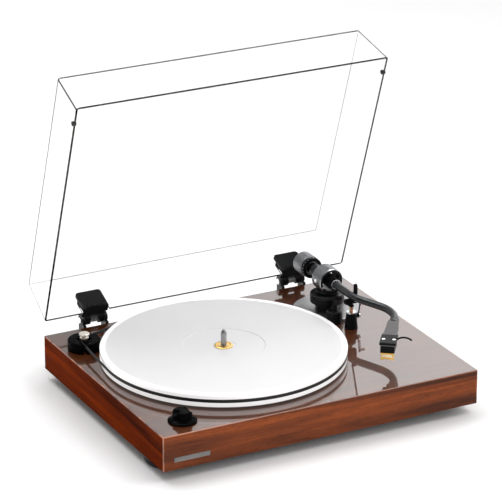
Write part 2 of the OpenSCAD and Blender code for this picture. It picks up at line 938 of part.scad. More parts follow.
ring_half = 11;
ring_wall = 4;

module gimbal_ring() {
    color([0.4, 0.4, 0.42])
    on_deck(arm_x, arm_y, arm_h)
    union() {
        rotate([90, 0, 0])
        difference() {
            union() {
                translate([0, 0, -ring_half + 1]) cylinder(h = 2 * ring_half - 2, r = ring_r);
                for (flip = [0, 180])
                    rotate([flip, 0, 0])
                        translate([0, 0, ring_half - 1])
                            cylinder(h = 1, r1 = ring_r, r2 = ring_r - 1);
            }
            translate([0, 0, -20]) cylinder(h = 40, r = ring_r - ring_wall);
        }
        both_sides()
            rotate([0, 90, 0]) {
                translate([0, 0, block_r - 3]) cylinder(h = ring_r - block_r + 2, r = 1.4);
                translate([0, 0, ring_r - 2]) cylinder(h = 2.6, r = 2.6);
            }
    }
}

module pivot_block() {
    color([0.08, 0.08, 0.09])
    on_deck(arm_x, arm_y, arm_h)
    difference() {
        union() {
            rotate([90, 0, 0]) translate([0, 0, -11]) cylinder(h = 24, r = block_r);
            rotate([-90, 0, 0]) translate([0, 0, 11]) cylinder(h = 9, r1 = 7, r2 = 8.5);
            rotate([-90, 0, 0]) translate([0, 0, 20]) cylinder(h = 11, r = 8.5);
            rotate([-90, 0, 0]) translate([0, 0, 31]) cylinder(h = 40, r = stub_r);
            rotate([90, 0, 0]) translate([0, 0, 13]) cylinder(h = 7, r = 6.8);
        }
        both_sides()
            rotate([0, 90, 0])
                translate([0, 0, block_r - 3.2]) cylinder(h = 10, r = 1.4 + fit);
        rotate([90, 0, 0]) translate([0, 0, 5]) cylinder(h = 30, r = tube_r + run_step);
    }
}

// The tube is a straight run, a bend outwards, a straight run and a long bend inwards.
// The straight runs are a hair wider and lap over the ends of the bends.
module tube_path(r, ends) {
    run_r = r + run_step;
    rotate([90, 0, 0])
        translate([0, 0, 5 - ends]) cylinder(h = tube_straight - 5 + ends + lap, r = run_r);
    translate([out_r, -tube_straight, 0])
        rotate([0, 0, 180])
            rotate_extrude(angle = tube_out) translate([out_r, 0]) circle(r = r);
    translate([out_r * (1 - cos(tube_out)), -tube_straight - out_r * sin(tube_out), 0])
        rotate([90, 0, tube_out])
            translate([0, 0, -lap]) cylinder(h = mid_straight + 2 * lap, r = run_r);
    translate([
        out_r * (1 - cos(tube_out)) + mid_straight * sin(tube_out) - in_r * cos(tube_out),
        -tube_straight - out_r * sin(tube_out) - mid_straight * cos(tube_out)
            - in_r * sin(tube_out),
        0
    ])
        rotate([0, 0, -shell_angle])
            rotate_extrude(angle = tube_out + shell_angle)
                translate([in_r, 0]) circle(r = r);
    at_seat()
        rotate([90, 0, 0])
            translate([0, 0, -lap]) cylinder(h = front_straight + ends + lap, r = run_r);
}

// Frame at the end of the bend, with -Y along the headshell
module at_seat() {
    translate([seat_x, -seat_y, 0]) rotate([0, 0, -shell_angle]) children();
}

module arm_tube() {
    color([0.42, 0.42, 0.44])
    on_deck(arm_x, arm_y, arm_h)
    difference() {
        union() {
            tube_path(tube_r, 0);
            rotate([90, 0, 0]) translate([0, 0, 20]) cylinder(h = 2, r = 6);
        }
        tube_path(tube_r - 1, 1);
    }
}

module weight_sleeve() {
    color([0.2, 0.2, 0.21])
    on_deck(arm_x, arm_y, arm_h)
    rotate([-90, 0, 0])
    difference() {
        translate([0, 0, weight_y + 2]) cylinder(h = weight_l - 4, r = 7);
        translate([0, 0, 0]) cylinder(h = 100, r = stub_r + fit);
    }
}

module counterweight() {
    color([0.38, 0.38, 0.4])
    on_deck(arm_x, arm_y, arm_h)
    rotate([-90, 0, 0])
    difference() {
        union() {
            translate([0, 0, weight_y]) cylinder(h = weight_l - 1.5, r = weight_r);
            translate([0, 0, weight_y + weight_l - 1.5])
                cylinder(h = 1.5, r1 = weight_r, r2 = weight_r - 1.5);
            translate([0, 0, weight_y - 4]) cylinder(h = 4, r = 9);
        }
        translate([0, 0, 0]) cylinder(h = 100, r = 7 + fit);
    }
}

module force_dial() {
    color([0.1, 0.1, 0.11])
    on_deck(arm_x, arm_y, arm_h)
    rotate([-90, 0, 0])
    difference() {
        translate([0, 0, weight_y - 5]) cylinder(h = 5 - slip, r = weight_r - 0.6);
        cylinder(h = 100, r = 9 + fit);
        for (i = [0:19])
            rotate(i * 18)
                translate([weight_r - 1, -0.25, weight_y - 4]) cube([2, 0.5, 3]);
    }
}

module shell_collar() {
    color([0.3, 0.3, 0.32])
    on_deck(arm_x, arm_y, arm_h)
    at_seat()
    rotate([90, 0, 0])
    difference() {
        union() {
            translate([0, 0, 2]) cylinder(h = 10.2, r = 6.1);
            translate([0, 0, 1.2]) cylinder(h = 0.8, r1 = 5.5, r2 = 6.1);
        }
        cylinder(h = 40, r = tube_r + fit);
        for (i = [0:29])
            rotate(i * 12) translate([6.1, 0, 4]) cylinder(h = 6, r = 0.3, $fn = 16);
    }
}

shell_l = 60.6;
shell_half = 9.9;
screw_y = 47.6;
block_l = 26;
block_z = -2;              // seat of the clamp block on the shell, below the arm's axis
pocket_z = -0.6;           // floor of the block's screw pockets
screw_pitch = 12.7;
front_y = -shell_seat - shell_l - 1;

// Half of the shell's outline is given, from the collar to the front
module shell_plan() {
    neck = 6.6;
    shoulder = 8.1;
    step = shell_l - block_l;
    polygon([[neck, 0], [shoulder, -step + 4], [shell_half, -step + 1], [shell_half, -step],
             [shell_half - 0.8, -step], [shell_half - 0.8, -shell_l],
             [0.8 - shell_half, -shell_l], [0.8 - shell_half, -step], [-shell_half, -step],
             [-shell_half, -step + 1], [-shoulder, -step + 4], [-neck, 0]]);
}

module shell_side() {
    neck = 5.2;
    step = shell_l - block_l;
    polygon([[0, -neck], [0, neck], [step, 1.1], [step, block_z], [shell_l, block_z],
             [shell_l, -shell_drop], [20, -shell_drop]]);
}

module headshell() {
    color([0.45, 0.45, 0.46])
    on_deck(arm_x, arm_y, arm_h)
    at_seat()
    difference() {
        union() {
            intersection() {
                translate([0, -shell_seat, -10]) linear_extrude(height = 20) shell_plan();
                translate([0, -shell_seat, 0])
                    rotate([90, 0, -90])
                        translate([0, 0, -12]) linear_extrude(height = 24) shell_side();
            }
            rotate([90, 0, 0]) translate([0, 0, 6]) cylinder(h = shell_seat - 5, r = tube_r - 1);
        }
        for (x = [-1, 1])
            translate([x * screw_pitch / 2, -shell_seat - screw_y, -10])
                cylinder(h = 20, r = 1.3);
    }
}

module on_shell() {
    on_deck(arm_x, arm_y, arm_h) at_seat() children();
}

module cartridge_screw_spots() {
    for (x = [-1, 1])
        translate([x * screw_pitch / 2, -shell_seat - screw_y, 0]) children();
}

module finger_lift() {
    lift_r = 14;
    half_arc = 40;
    wire_r = 1.1;
    wire_y = -58;
    pocket_w = 5.4;
    color([0.06, 0.06, 0.06])
    on_shell()
    difference() {
        union() {
            translate([-shell_half, -shell_seat - shell_l, block_z])
                cube([2 * shell_half, block_l, 3.1]);
            translate([shell_half - 0.5 + lift_r * sin(half_arc), wire_y, -lift_r * cos(half_arc)])
                rotate([90, 0, 0])
                    rotate(90 - half_arc)
                        rotate_extrude(angle = 2 * half_arc)
                            translate([lift_r, 0]) circle(r = wire_r, $fn = 32);
        }
        cartridge_screw_spots() {
            translate([0, 0, -5]) cylinder(h = 10, r = 1.3);
            translate([-pocket_w / 2, -pocket_w / 2, pocket_z]) cube([pocket_w, pocket_w, 5]);
        }
    }
}

module cartridge_screws() {
    color([0.9, 0.9, 0.9])
    on_shell()
    cartridge_screw_spots() {
        translate([0, 0, -shell_drop]) cylinder(h = pocket_z + shell_drop + 0.1, r = 1.3);
        translate([0, 0, pocket_z]) cylinder(h = 1.5, r = 2.3);
    }
}

module cartridge_body() {
    color([0.07, 0.07, 0.08])
    on_shell()
    union() {
        translate([-8.5, front_y, -shell_drop - 8]) cube([17, 27, 8]);
        translate([-7, front_y + 6.2, -shell_drop - 14]) cube([14, 18, 6]);
        for (x = [-3, 3], z = [-3, -6])
            translate([x, front_y + 27, -shell_drop + z])
                rotate([-90, 0, 0]) cylinder(h = 3, r = 0.6, $fn = 24);
    }
}

module stylus_holder() {
    color([0.95, 0.7, 0.2])
    on_shell()
    difference() {
        union() {
            translate([-7.7, front_y - 1, -shell_drop - 16.5]) cube([15.4, 7, 8.5]);
            translate([0, front_y + 3.5, -shell_drop - 18.6])
                cylinder(h = 3, r1 = 0.3, r2 = 0.7, $fn = 24);
        }
        translate([-4, front_y - 2, -shell_drop - 18]) cube([8, 4, 3.5]);
    }
}

plinth();
bottom_cover();
bottom_screws();
badge();
foot_front_left();
foot_front_right();
foot_rear();
control_board();
board_standoffs();
speed_switch();
knob_shaft();
speed_knob();
terminal_plate();
line_jacks();
ground_post();
ground_nut();
power_socket();
line_switch_slider();
auto_stop_slider();
motor();
motor_bracket();
motor_guard();
motor_pulley();
drive_belt();
bearing_housing();
bearing_bush();
thrust_ball();
platter_hub();
spindle();
platter();
hinge_brackets();
hinge_screws();
hinge_pins();
hinge_springs();
hinge_grips();
dust_cover();
cover_bumpers();
arm_base();
arm_column();
arm_bearing();
rest_post();
arm_rest();
lift_cylinder();
lift_bar();
cue_lever();
anti_skate_dial();
gimbal_base();
gimbal_ring();
pivot_block();
arm_tube();
weight_sleeve();
counterweight();
force_dial();
shell_collar();
headshell();
finger_lift();
cartridge_screws();
cartridge_body();
stylus_holder();
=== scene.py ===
"""Belt-drive record player: the visible pieces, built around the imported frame.

Lengths are metres. Profiles of turned pieces are written in millimetres, as (radius, height).
"""

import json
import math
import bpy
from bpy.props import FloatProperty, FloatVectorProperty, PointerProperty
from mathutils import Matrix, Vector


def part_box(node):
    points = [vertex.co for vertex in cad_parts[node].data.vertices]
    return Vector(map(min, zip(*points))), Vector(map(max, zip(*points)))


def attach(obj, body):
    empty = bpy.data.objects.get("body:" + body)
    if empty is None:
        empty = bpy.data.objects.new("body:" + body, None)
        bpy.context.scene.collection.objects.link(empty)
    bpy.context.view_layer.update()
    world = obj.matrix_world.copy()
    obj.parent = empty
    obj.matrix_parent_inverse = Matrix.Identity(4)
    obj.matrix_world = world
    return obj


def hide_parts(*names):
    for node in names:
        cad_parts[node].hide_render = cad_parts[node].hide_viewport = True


bl_info = {
    "name": "Belt-Drive Record Player",
    "version": (1, 0, 0),
    "blender": (4, 5, 0),
    "location": "3D View > Sidebar > Record Player",
    "description": "Models and finishes the pieces of a belt-drive record player",
    "category": "Object",
}

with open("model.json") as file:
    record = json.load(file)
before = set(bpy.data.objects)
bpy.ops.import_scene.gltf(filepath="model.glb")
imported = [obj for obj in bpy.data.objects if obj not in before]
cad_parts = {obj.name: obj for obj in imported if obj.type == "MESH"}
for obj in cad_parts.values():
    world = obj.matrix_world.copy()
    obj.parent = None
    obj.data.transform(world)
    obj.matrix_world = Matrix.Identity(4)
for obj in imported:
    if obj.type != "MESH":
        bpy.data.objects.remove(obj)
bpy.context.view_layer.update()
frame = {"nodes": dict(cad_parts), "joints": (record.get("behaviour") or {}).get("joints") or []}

MM = 0.001
JOINTS = {joint["name"]: joint for joint in frame["joints"]}
FULL_TURN = 2 * math.pi
MERGE = 0.002 * MM


# ------------------------------------------------------------------ places


def centre_of(node):
    """Middle of a frame node's box."""
    low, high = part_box(node)
    return (low + high) / 2


def upright(x, y, z):
    """Local Z up."""
    return Matrix.Translation((x, y, z))


def along_y(x, y, z):
    """Local Z towards the rear."""
    return Matrix.Translation((x, y, z)) @ Matrix.Rotation(math.radians(-90), 4, "X")


def cover_place():
    """Turns a piece modelled on the closed cover up to where the open cover stands."""
    joint = JOINTS["cover_hinge"]
    pivot = Matrix.Translation(joint["pos_m"])
    swing = math.radians(joint["range_deg"][0])
    return pivot @ Matrix.Rotation(swing, 4, "X") @ pivot.inverted()


# --------------------------------------------------------------- modelling


def begin():
    """Back to object mode with nothing selected."""
    if bpy.context.object and bpy.context.object.mode != "OBJECT":
        bpy.ops.object.mode_set(mode="OBJECT")
    bpy.ops.object.select_all(action="DESELECT")


def named(name):
    piece = bpy.context.object
    piece.name = name
    piece.data.name = name
    return piece


def take(piece):
    """Make the piece the one being worked on."""
    begin()
    piece.select_set(True)
    bpy.context.view_layer.objects.active = piece


def choose(piece, kind, test):
    """In edit mode, select the vertices, edges or faces that pass the test."""
    take(piece)
    bpy.ops.object.mode_set(mode="EDIT")
    bpy.ops.mesh.select_mode(type=kind)
    bpy.ops.mesh.select_all(action="DESELECT")
    bpy.ops.object.mode_set(mode="OBJECT")
    mesh = piece.data
    for part in {"VERT": mesh.vertices, "EDGE": mesh.edges, "FACE": mesh.polygons}[kind]:
        part.select = test(part)
    bpy.ops.object.mode_set(mode="EDIT")


def done():
    bpy.ops.object.mode_set(mode="OBJECT")


def settle(piece, place):
    """Put the piece in its place and leave its object at the origin."""
    take(piece)
    piece.matrix_world = place
    bpy.ops.object.transform_apply(location=True, rotation=True, scale=True)
    return piece


def chain(name, points, closed):
    """A line of edges: a plane is merged to one corner and drawn out from point to point."""
    begin()
    bpy.ops.mesh.primitive_plane_add(size=MM, location=(0, 0, 0))
    piece = named(name)
    bpy.ops.object.mode_set(mode="EDIT")
    bpy.ops.mesh.select_mode(type="VERT")
    bpy.ops.mesh.select_all(action="SELECT")
    bpy.ops.mesh.merge(type="CENTER")
    bpy.ops.transform.translate(value=points[0])
    stops = [Vector(point) for point in points]
    if closed:
        stops.append(stops[0])
    for here, there in zip(stops, stops[1:]):
        bpy.ops.mesh.extrude_region_move(TRANSFORM_OT_translate={"value": there - here})
    bpy.ops.mesh.select_all(action="SELECT")
    return piece


def cleaned():
    """Merge doubled corners and turn every face outwards."""
    bpy.ops.mesh.select_all(action="SELECT")
    bpy.ops.mesh.remove_doubles(threshold=MERGE)
    bpy.ops.mesh.normals_make_consistent(inside=False)


def turned(name, profile, place, closed=False, steps=96):
    """A piece turned on a lathe. The profile holds (radius, height) pairs in millimetres."""
    piece = chain(name, [(r * MM, 0, z * MM) for r, z in profile], closed)
    bpy.ops.mesh.spin(steps=steps, angle=FULL_TURN, center=(0, 0, 0), axis=(0, 0, 1))
    cleaned()
    done()
    return settle(piece, place)


def block(name, low, high, place=Matrix.Identity(4)):
    """A box from its low to its high corner, in millimetres."""
    begin()
    bpy.ops.mesh.primitive_cube_add(size=1, location=(0, 0, 0))
    piece = named(name)
    size = [(b - a) * MM for a, b in zip(low, high)]
    middle = [(a + b) / 2 * MM for a, b in zip(low, high)]
    piece.matrix_world = Matrix.Translation(middle) @ Matrix.Diagonal((*size, 1))
    bpy.ops.object.transform_apply(location=True, rotation=True, scale=True)
    return settle(piece, place)


def modified(piece, kind, **settings):
    """Add a modifier and apply it."""
    take(piece)
    modifier = piece.modifiers.new(kind.title(), kind)
    for key, value in settings.items():
        setattr(modifier, key, value)
    bpy.ops.object.modifier_apply(modifier=modifier.name)
    return piece


def eased(piece, width, segments=2, limit=35):
    """Round the edges sharper than the limit, by a width in millimetres."""
    return modified(
        piece,
        "BEVEL",
        width=width * MM,
        segments=segments,
        limit_method="ANGLE",
        angle_limit=math.radians(limit),
    )


def cut(piece, tool, operation="DIFFERENCE"):
    """Cut the tool's shape out of the piece, or add it."""
    modified(piece, "BOOLEAN", object=tool, operation=operation, solver="EXACT")
    begin()
    tool.select_set(True)
    bpy.ops.object.delete()
    return piece


def together(name, pieces):
    """Several like pieces as one object."""
    take(pieces[0])
    for piece in pieces:
        piece.select_set(True)
    bpy.ops.object.join()
    return named(name)


def finer(node, width=0.3, segments=2, limit=35):
    """A copy of a frame node with its flat faces joined and its edges eased."""
    mesh = frame["nodes"][node].data.copy()
    mesh.materials.clear()
    piece = bpy.data.objects.new(node + "_piece", mesh)
    bpy.context.scene.collection.objects.link(piece)
    take(piece)
    bpy.ops.mesh.customdata_custom_splitnormals_clear()
    bpy.ops.object.mode_set(mode="EDIT")
    bpy.ops.mesh.select_all(action="SELECT")
    bpy.ops.mesh.remove_doubles(threshold=MERGE)
    bpy.ops.mesh.dissolve_limited(angle_limit=math.radians(0.4))
    done()
    return eased(piece, width, segments, limit)


def fitted(piece, body, finish, nodes=(), smooth=35):
    """Shade, paint and seat a finished piece, and hide the frame nodes it stands for."""
    take(piece)
    bpy.ops.object.shade_smooth_by_angle(angle=math.radians(smooth))
    modified(piece, "WEIGHTED_NORMAL", keep_sharp=True, weight=100)
    if finish:
        piece.data.materials.clear()
        piece.data.materials.append(finish)
    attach(piece, body)
    if nodes:
        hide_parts(*nodes)
    return piece


def painted(node, finish):
    """Give a frame node its finish."""
    mesh = frame["nodes"][node].data
    mesh.materials.clear()
    mesh.materials.append(finish)


def banded(piece, finishes, pick):
    """Several finishes on one piece: pick says which one a face takes."""
    piece.data.materials.clear()
    for finish in finishes:
        piece.data.materials.append(finish)
    for face in piece.data.polygons:
        face.material_index = pick(face)


# --------------------------------------------------------------- materials


class Finish:
    """A node material with one surface shader, and short names for the nodes that feed it."""

    def __init__(self, name, **sockets):
        self.material = bpy.data.materials.new(name)
        self.material.use_nodes = True
        self.tree = self.material.node_tree
        self.shader = self.tree.nodes["Principled BSDF"]
        for socket, value in sockets.items():
            self.shader.inputs[socket.replace("_", " ")].default_value = value

    def node(self, kind, inputs=(), **settings):
        made = self.tree.nodes.new(kind)
        for key, value in settings.items():
            setattr(made, key, value)
        for socket, value in dict(inputs).items():
            if isinstance(value, bpy.types.NodeSocket):
                self.tree.links.new(value, made.inputs[socket])
            else:
                made.inputs[socket].default_value = value
        return made

    def place(self, scale=(1, 1, 1), location=(0, 0, 0), rotation=(0, 0, 0)):
        """Object coordinates, moved by location, then stretched."""
        coordinate = self.node("ShaderNodeTexCoord").outputs["Object"]
        moved = self.node(
            "ShaderNodeVectorMath", {0: coordinate, 1: location}, operation="SUBTRACT"
        )
        mapping = self.node(
            "ShaderNodeMapping",
            {"Vector": moved.outputs[0], "Scale": scale, "Rotation": rotation},
        )
        return mapping.outputs[0]

    def noise(self, vector, scale, detail=4, roughness=0.55, distortion=0):
        made = self.node(
            "ShaderNodeTexNoise",
            {
                "Vector": vector,
                "Scale": scale,
                "Detail": detail,
                "Roughness": roughness,
                "Distortion": distortion,
            },
        )
        return made.outputs["Fac"]

    def ramp(self, value, *stops):
        """A ramp through (place, colour) stops."""
        made = self.node("ShaderNodeValToRGB", {"Fac": value})
        elements = made.color_ramp.elements
        while len(elements) < len(stops):
            elements.new(0.5)
        for element, (where, colour) in zip(elements, stops):
            element.position = where
            element.color = (*colour, 1)
        return made.outputs["Color"]

    def span(self, value, low, high):
        """The value, from 0 and 1 to low and high."""
        made = self.node("ShaderNodeMapRange", {"Value": value, "To Min": low, "To Max": high})
        return made.outputs[0]

    def feed(self, socket, output):
        self.tree.links.new(output, self.shader.inputs[socket])

    def relief(self, height, depth, strength=1.0):
        """Bump of that depth in metres."""
        bump = self.node(
            "ShaderNodeBump", {"Height": height, "Distance": depth, "Strength": strength}
        )
        self.feed("Normal", bump.outputs[0])


def shade(colour, factor):
    return tuple(channel * factor for channel in colour)


def walnut(name, base, along, contrast=1.0, **sockets):
    """Lacquered veneer with its grain along one axis, its streaks as strong as the contrast."""
    finish = Finish(name, **sockets)
    stretch = {"X": (0.8, 15, 15), "Y": (15, 0.8, 15)}[along]
    grain = finish.place(stretch)
    figure = finish.noise(grain, 2.2, 4, 0.55, 1.1)
    fibre = finish.noise(grain, 24, 3, 0.5, 0.3)
    pores = finish.noise(finish.place(tuple(3 * s for s in stretch)), 40, 2, 0.6)
    mixed = finish.node(
        "ShaderNodeMath", {0: figure, 1: finish.span(fibre, -0.11, 0.11)}, operation="ADD"
    )
    tint = finish.ramp(
        mixed.outputs[0],
        (0.32, shade(base, 1 - 0.75 * contrast)),
        (0.46, shade(base, 1 - 0.26 * contrast)),
        (0.58, shade(base, 1 + 0.25 * contrast)),
        (0.72, shade(base, 1 + 1.1 * contrast)),
    )
    lines = finish.ramp(pores, (0.34, shade((1, 1, 1), 1 - 0.42 * contrast)), (0.46, (1, 1, 1)))
    colour = finish.node(
        "ShaderNodeMix", {"Factor": 1.0}, data_type="RGBA", blend_type="MULTIPLY"
    )
    # A colour mix has its own sockets after the value and vector ones
    finish.tree.links.new(tint, colour.inputs[6])
    finish.tree.links.new(lines, colour.inputs[7])
    finish.feed("Base Color", colour.outputs[2])
    finish.feed("Roughness", finish.span(figure, 0.34, 0.5))
    return finish.material


def moulded(name, colour, roughness, grain=2600, depth=0.00003, **sockets):
    """Moulded plastic or rubber with a fine spark-eroded grain."""
    finish = Finish(name, **sockets)
    where = finish.place()
    spark = finish.noise(where, grain, 3)
    cloud = finish.noise(where, 55, 3)
    tint = finish.ramp(cloud, (0.3, shade(colour, 0.82)), (0.7, shade(colour, 1.2)))
    finish.feed("Base Color", tint)
    finish.feed("Roughness", finish.span(cloud, roughness - 0.05, roughness + 0.07))
    finish.relief(spark, depth, 0.6)
    return finish.material


def satin(name, colour, roughness, stretch=(1, 1, 1), grain=900, metal=1.0, **sockets):
    """Metal, finely brushed or blasted. The stretch lays the brush marks along an axis."""
    finish = Finish(name, Metallic=metal, **sockets)
    marks = finish.noise(finish.place(stretch), grain, 4, 0.6)
    cloud = finish.noise(finish.place(), 40, 3)
    tint = finish.ramp(cloud, (0.3, shade(colour, 0.88)), (0.72, shade(colour, 1.08)))
    finish.feed("Base Color", tint)
    finish.feed("Roughness", finish.span(marks, roughness - 0.07, roughness + 0.09))
    finish.relief(marks, 0.00002, 0.35)
    return finish.material


def faced(name, colour, roughness, centre, pitch=0.0006, metal=1.0, **sockets):
    """Lathe-faced metal or acrylic, with tool rings about an upright axis."""
    finish = Finish(name, Metallic=metal, **sockets)
    rings = finish.node(
        "ShaderNodeTexWave",
        {
            "Vector": finish.place(location=centre),
            "Scale": 1 / (pitch * 20),
            "Distortion": 0.6,
            "Detail": 2.0,
        },
        wave_type="RINGS",
        rings_direction="Z",
    ).outputs["Fac"]
    cloud = finish.noise(finish.place(), 30, 3)
    tint = finish.ramp(cloud, (0.3, shade(colour, 0.95)), (0.7, shade(colour, 1.03)))
    finish.feed("Base Color", tint)
    finish.feed("Roughness", finish.span(rings, roughness - 0.04, roughness + 0.06))
    finish.relief(rings, 0.00001, 0.4)
    return finish.material


def clear_sheet(name, tint, roughness):
    """Clear acrylic with the faintest wipe marks."""
    finish = Finish(
        name, Base_Color=(*tint, 1), Transmission_Weight=1.0, IOR=1.49, Specular_IOR_Level=0.5
    )
    wipes = finish.noise(finish.place((1, 6, 1)), 9, 3)
    finish.feed("Roughness", finish.span(wipes, roughness, roughness + 0.012))
    return finish.material


def frosted_top(name, colour, centre):
    """Frosted acrylic, glossy on top, with a faint painted glow: it emits light of its own, as if
    lit from inside.
    """
    finish = Finish(
        name, IOR=1.49, Coat_Weight=0.3, Coat_Roughness=0.02, Emission_Color=(1, 1, 1, 1),
        Emission_Strength=0.11,
    )
    frost = finish.noise(finish.place(), 1700, 3)
    cloud = finish.noise(finish.place(location=centre), 7, 4)
    tint = finish.ramp(cloud, (0.25, shade(colour, 0.965)), (0.75, shade(colour, 1.02)))
    finish.feed("Base Color", tint)
    finish.feed("Roughness", finish.span(frost, 0.36, 0.56))
    finish.relief(frost, 0.00002, 0.3)
    return finish.material


FINISHES = {}


def make_finishes():
    """Every finish that the operators use, by its short name."""
    paint = bpy.context.scene.deck_colours
    platter = centre_of("platter")
    pulley = centre_of("motor_pulley")
    wood = tuple(paint.walnut)
    black = tuple(paint.black)
    grey = tuple(paint.gunmetal)
    FINISHES.update(
        wood_x=walnut(
            "walnut_grain_along_x", wood, "X", Coat_Weight=0.28, Coat_Roughness=0.03,
            Specular_IOR_Level=0.05,
        ),
        # The side faces take a darker, deeper copy of the veneer colour with no shine: painted
        # shade on the sides.
        wood_y=walnut(
            "walnut_grain_along_y_painted_shade", (wood[0] * 0.85, wood[1] * 0.5, wood[2] * 0.1), "Y",
            Coat_Weight=0.04, Coat_Roughness=0.03, Specular_IOR_Level=0.0,
        ),
        wood_top=walnut(
            "walnut_top", tuple(paint.walnut_top), "X", 0.35, Coat_Weight=1.0,
            Coat_Roughness=0.006, Coat_IOR=2.05, Specular_IOR_Level=0.2,
        ),
        # The rounded edges take a much lighter, pinker copy of the veneer colour: a painted
        # highlight along the edges.
        wood_edge=walnut(
            "walnut_edge_painted_highlight", (wood[0] * 2.4, wood[1] * 4, wood[2] * 12), "X", Coat_Weight=1.0,
            Coat_Roughness=0.08, Specular_IOR_Level=0.5,
        ),
        board=moulded("raw_board", (0.11, 0.07, 0.045), 0.8, 900, 0.0001),
        black=moulded("black_moulding", black, 0.34, Specular_IOR_Level=0.08),
        black_gloss=moulded(
            "black_gloss_moulding", shade(black, 0.4), 0.13, 1500, 0.000003,
            Specular_IOR_Level=0.012,
        ),
        black_metal=satin(
            "black_satin_metal", black, 0.28, metal=0.0, Specular_IOR_Level=0.25
        ),
        rubber=moulded("black_rubber", (0.028, 0.028, 0.029), 0.66, 1900, 0.00005),
        belt=moulded("belt_rubber", (0.012, 0.012, 0.012), 0.5, 1900, 0.00002),
        # The platter's frosted top glows faintly: a painted glow.
        frosted=frosted_top("frosted_acrylic", tuple(paint.acrylic), platter),
        # The polished rim band and the platter's sides glow with emission 0.5: a painted glow
        # that brightens them.
        polished=faced(
            "polished_acrylic_rim_painted_glow", tuple(paint.acrylic), 0.08, platter, metal=0.0,
            Coat_Weight=0.8, Emission_Color=(1, 0.99, 0.98, 1), Emission_Strength=0.5,
        ),
        clear=clear_sheet("clear_acrylic", tuple(paint.cover), 0.0),
        # The cover's cut rim and folded top edges take a near-black tint: painted shade for the
        # dark lines where the sheet is seen along its length.
        clear_edge=clear_sheet("clear_acrylic_edge_painted_shade", tuple(paint.cover_edge), 0.04),
        gunmetal=satin("gunmetal", shade(grey, 2.6), 0.34, (1, 1, 1), 1300),
        tube=satin("gunmetal_tube", shade(grey, 0.8), 0.28, (1, 1, 1), 1300),
        gunmetal_edge=satin("gunmetal_polished_edge", shade(grey, 8), 0.24, (1, 1, 1), 1300),
        weight=satin("weight_metal", shade(grey, 3.0), 0.4, (30, 1, 30), 240),
        silver=satin("silver_disc", (0.4, 0.4, 0.405), 0.36, grain=700),
        shell=satin(
            "headshell_grey", (0.13, 0.125, 0.125), 0.42, metal=0.3, Specular_IOR_Level=0.3
        ),
        chrome=satin("chrome", (0.86, 0.86, 0.87), 0.1, grain=300),
        nickel=satin("nickel_badge", (0.2, 0.19, 0.185), 0.3, (1, 1, 18), 300),
        steel=satin("brushed_steel", (0.42, 0.42, 0.43), 0.33, (1, 1, 18), 300),
        pulley=faced("pulley_metal", (0.86, 0.79, 0.7), 0.24, pulley, 0.0003),
        brass=faced("turned_brass", tuple(paint.brass), 0.2, platter, 0.0003),
        copper=satin("copper_pin", (0.7, 0.38, 0.2), 0.25),
        amber=moulded(
            "amber_moulding", tuple(paint.amber), 0.2, 900, 0.000008,
            Subsurface_Weight=0.4, Subsurface_Radius=(0.004, 0.002, 0.001), Coat_Weight=0.4,
        ),
        ivory=moulded("ivory_nylon", (0.72, 0.69, 0.6), 0.5),
        cream=moulded("cream_patch", (0.85, 0.74, 0.5), 0.4),
        solder_mask=moulded("green_solder_mask", (0.02, 0.16, 0.07), 0.3),
        white_mark=moulded("white_marking", (0.75, 0.75, 0.74), 0.5),
    )


# -------------------------------------------------------------- properties


class DeckSizes(bpy.types.PropertyGroup):
    """Sizes that the frame doesn't give."""

    edge: FloatProperty(
        name="Plinth edge", description="Rounding of the plinth's edges", default=0.0011,
        min=0.0003, max=0.002, unit="LENGTH",
    )
    wall: FloatProperty(
        name="Plinth wall", description="Thickness of the plinth's side walls", default=0.010,
        min=0.008, max=0.012, unit="LENGTH",
    )
    top_board: FloatProperty(
        name="Top board", description="Thickness of the plinth's top board", default=0.012,
        min=0.010, max=0.014, unit="LENGTH",
    )
    cover_depth: FloatProperty(
        name="Cover depth", description="Depth of the cover at its rim", default=0.3296,
        min=0.32, max=0.33, unit="LENGTH",
    )
    cover_height: FloatProperty(
        name="Cover height", description="Height of the cover", default=0.066,
        min=0.06, max=0.07, unit="LENGTH",
    )
    cover_sheet: FloatProperty(
        name="Cover sheet", description="Thickness of the clear sheet", default=0.0026,
        min=0.002, max=0.003, unit="LENGTH",
    )
    cover_corner: FloatProperty(
        name="Cover corners", description="Radius of the cover's upright corners",
        default=0.0036, min=0.003, max=0.007, unit="LENGTH",
    )
    lens: FloatProperty(
        name="Lens", description="Focal length of the camera", default=0.2247, unit="CAMERA",
        min=0.05, max=0.5,
    )
    azimuth: FloatProperty(
        name="Azimuth", description="Direction the camera looks, from +Y", subtype="ANGLE",
        default=math.radians(-27.41),
    )
    elevation: FloatProperty(
        name="Elevation", description="Height of the camera above the target", subtype="ANGLE",
        default=math.radians(21.62),
    )
    distance: FloatProperty(
        name="Distance", description="Distance from the camera to its target", default=4.23825,
        min=1, max=10, unit="LENGTH",
    )


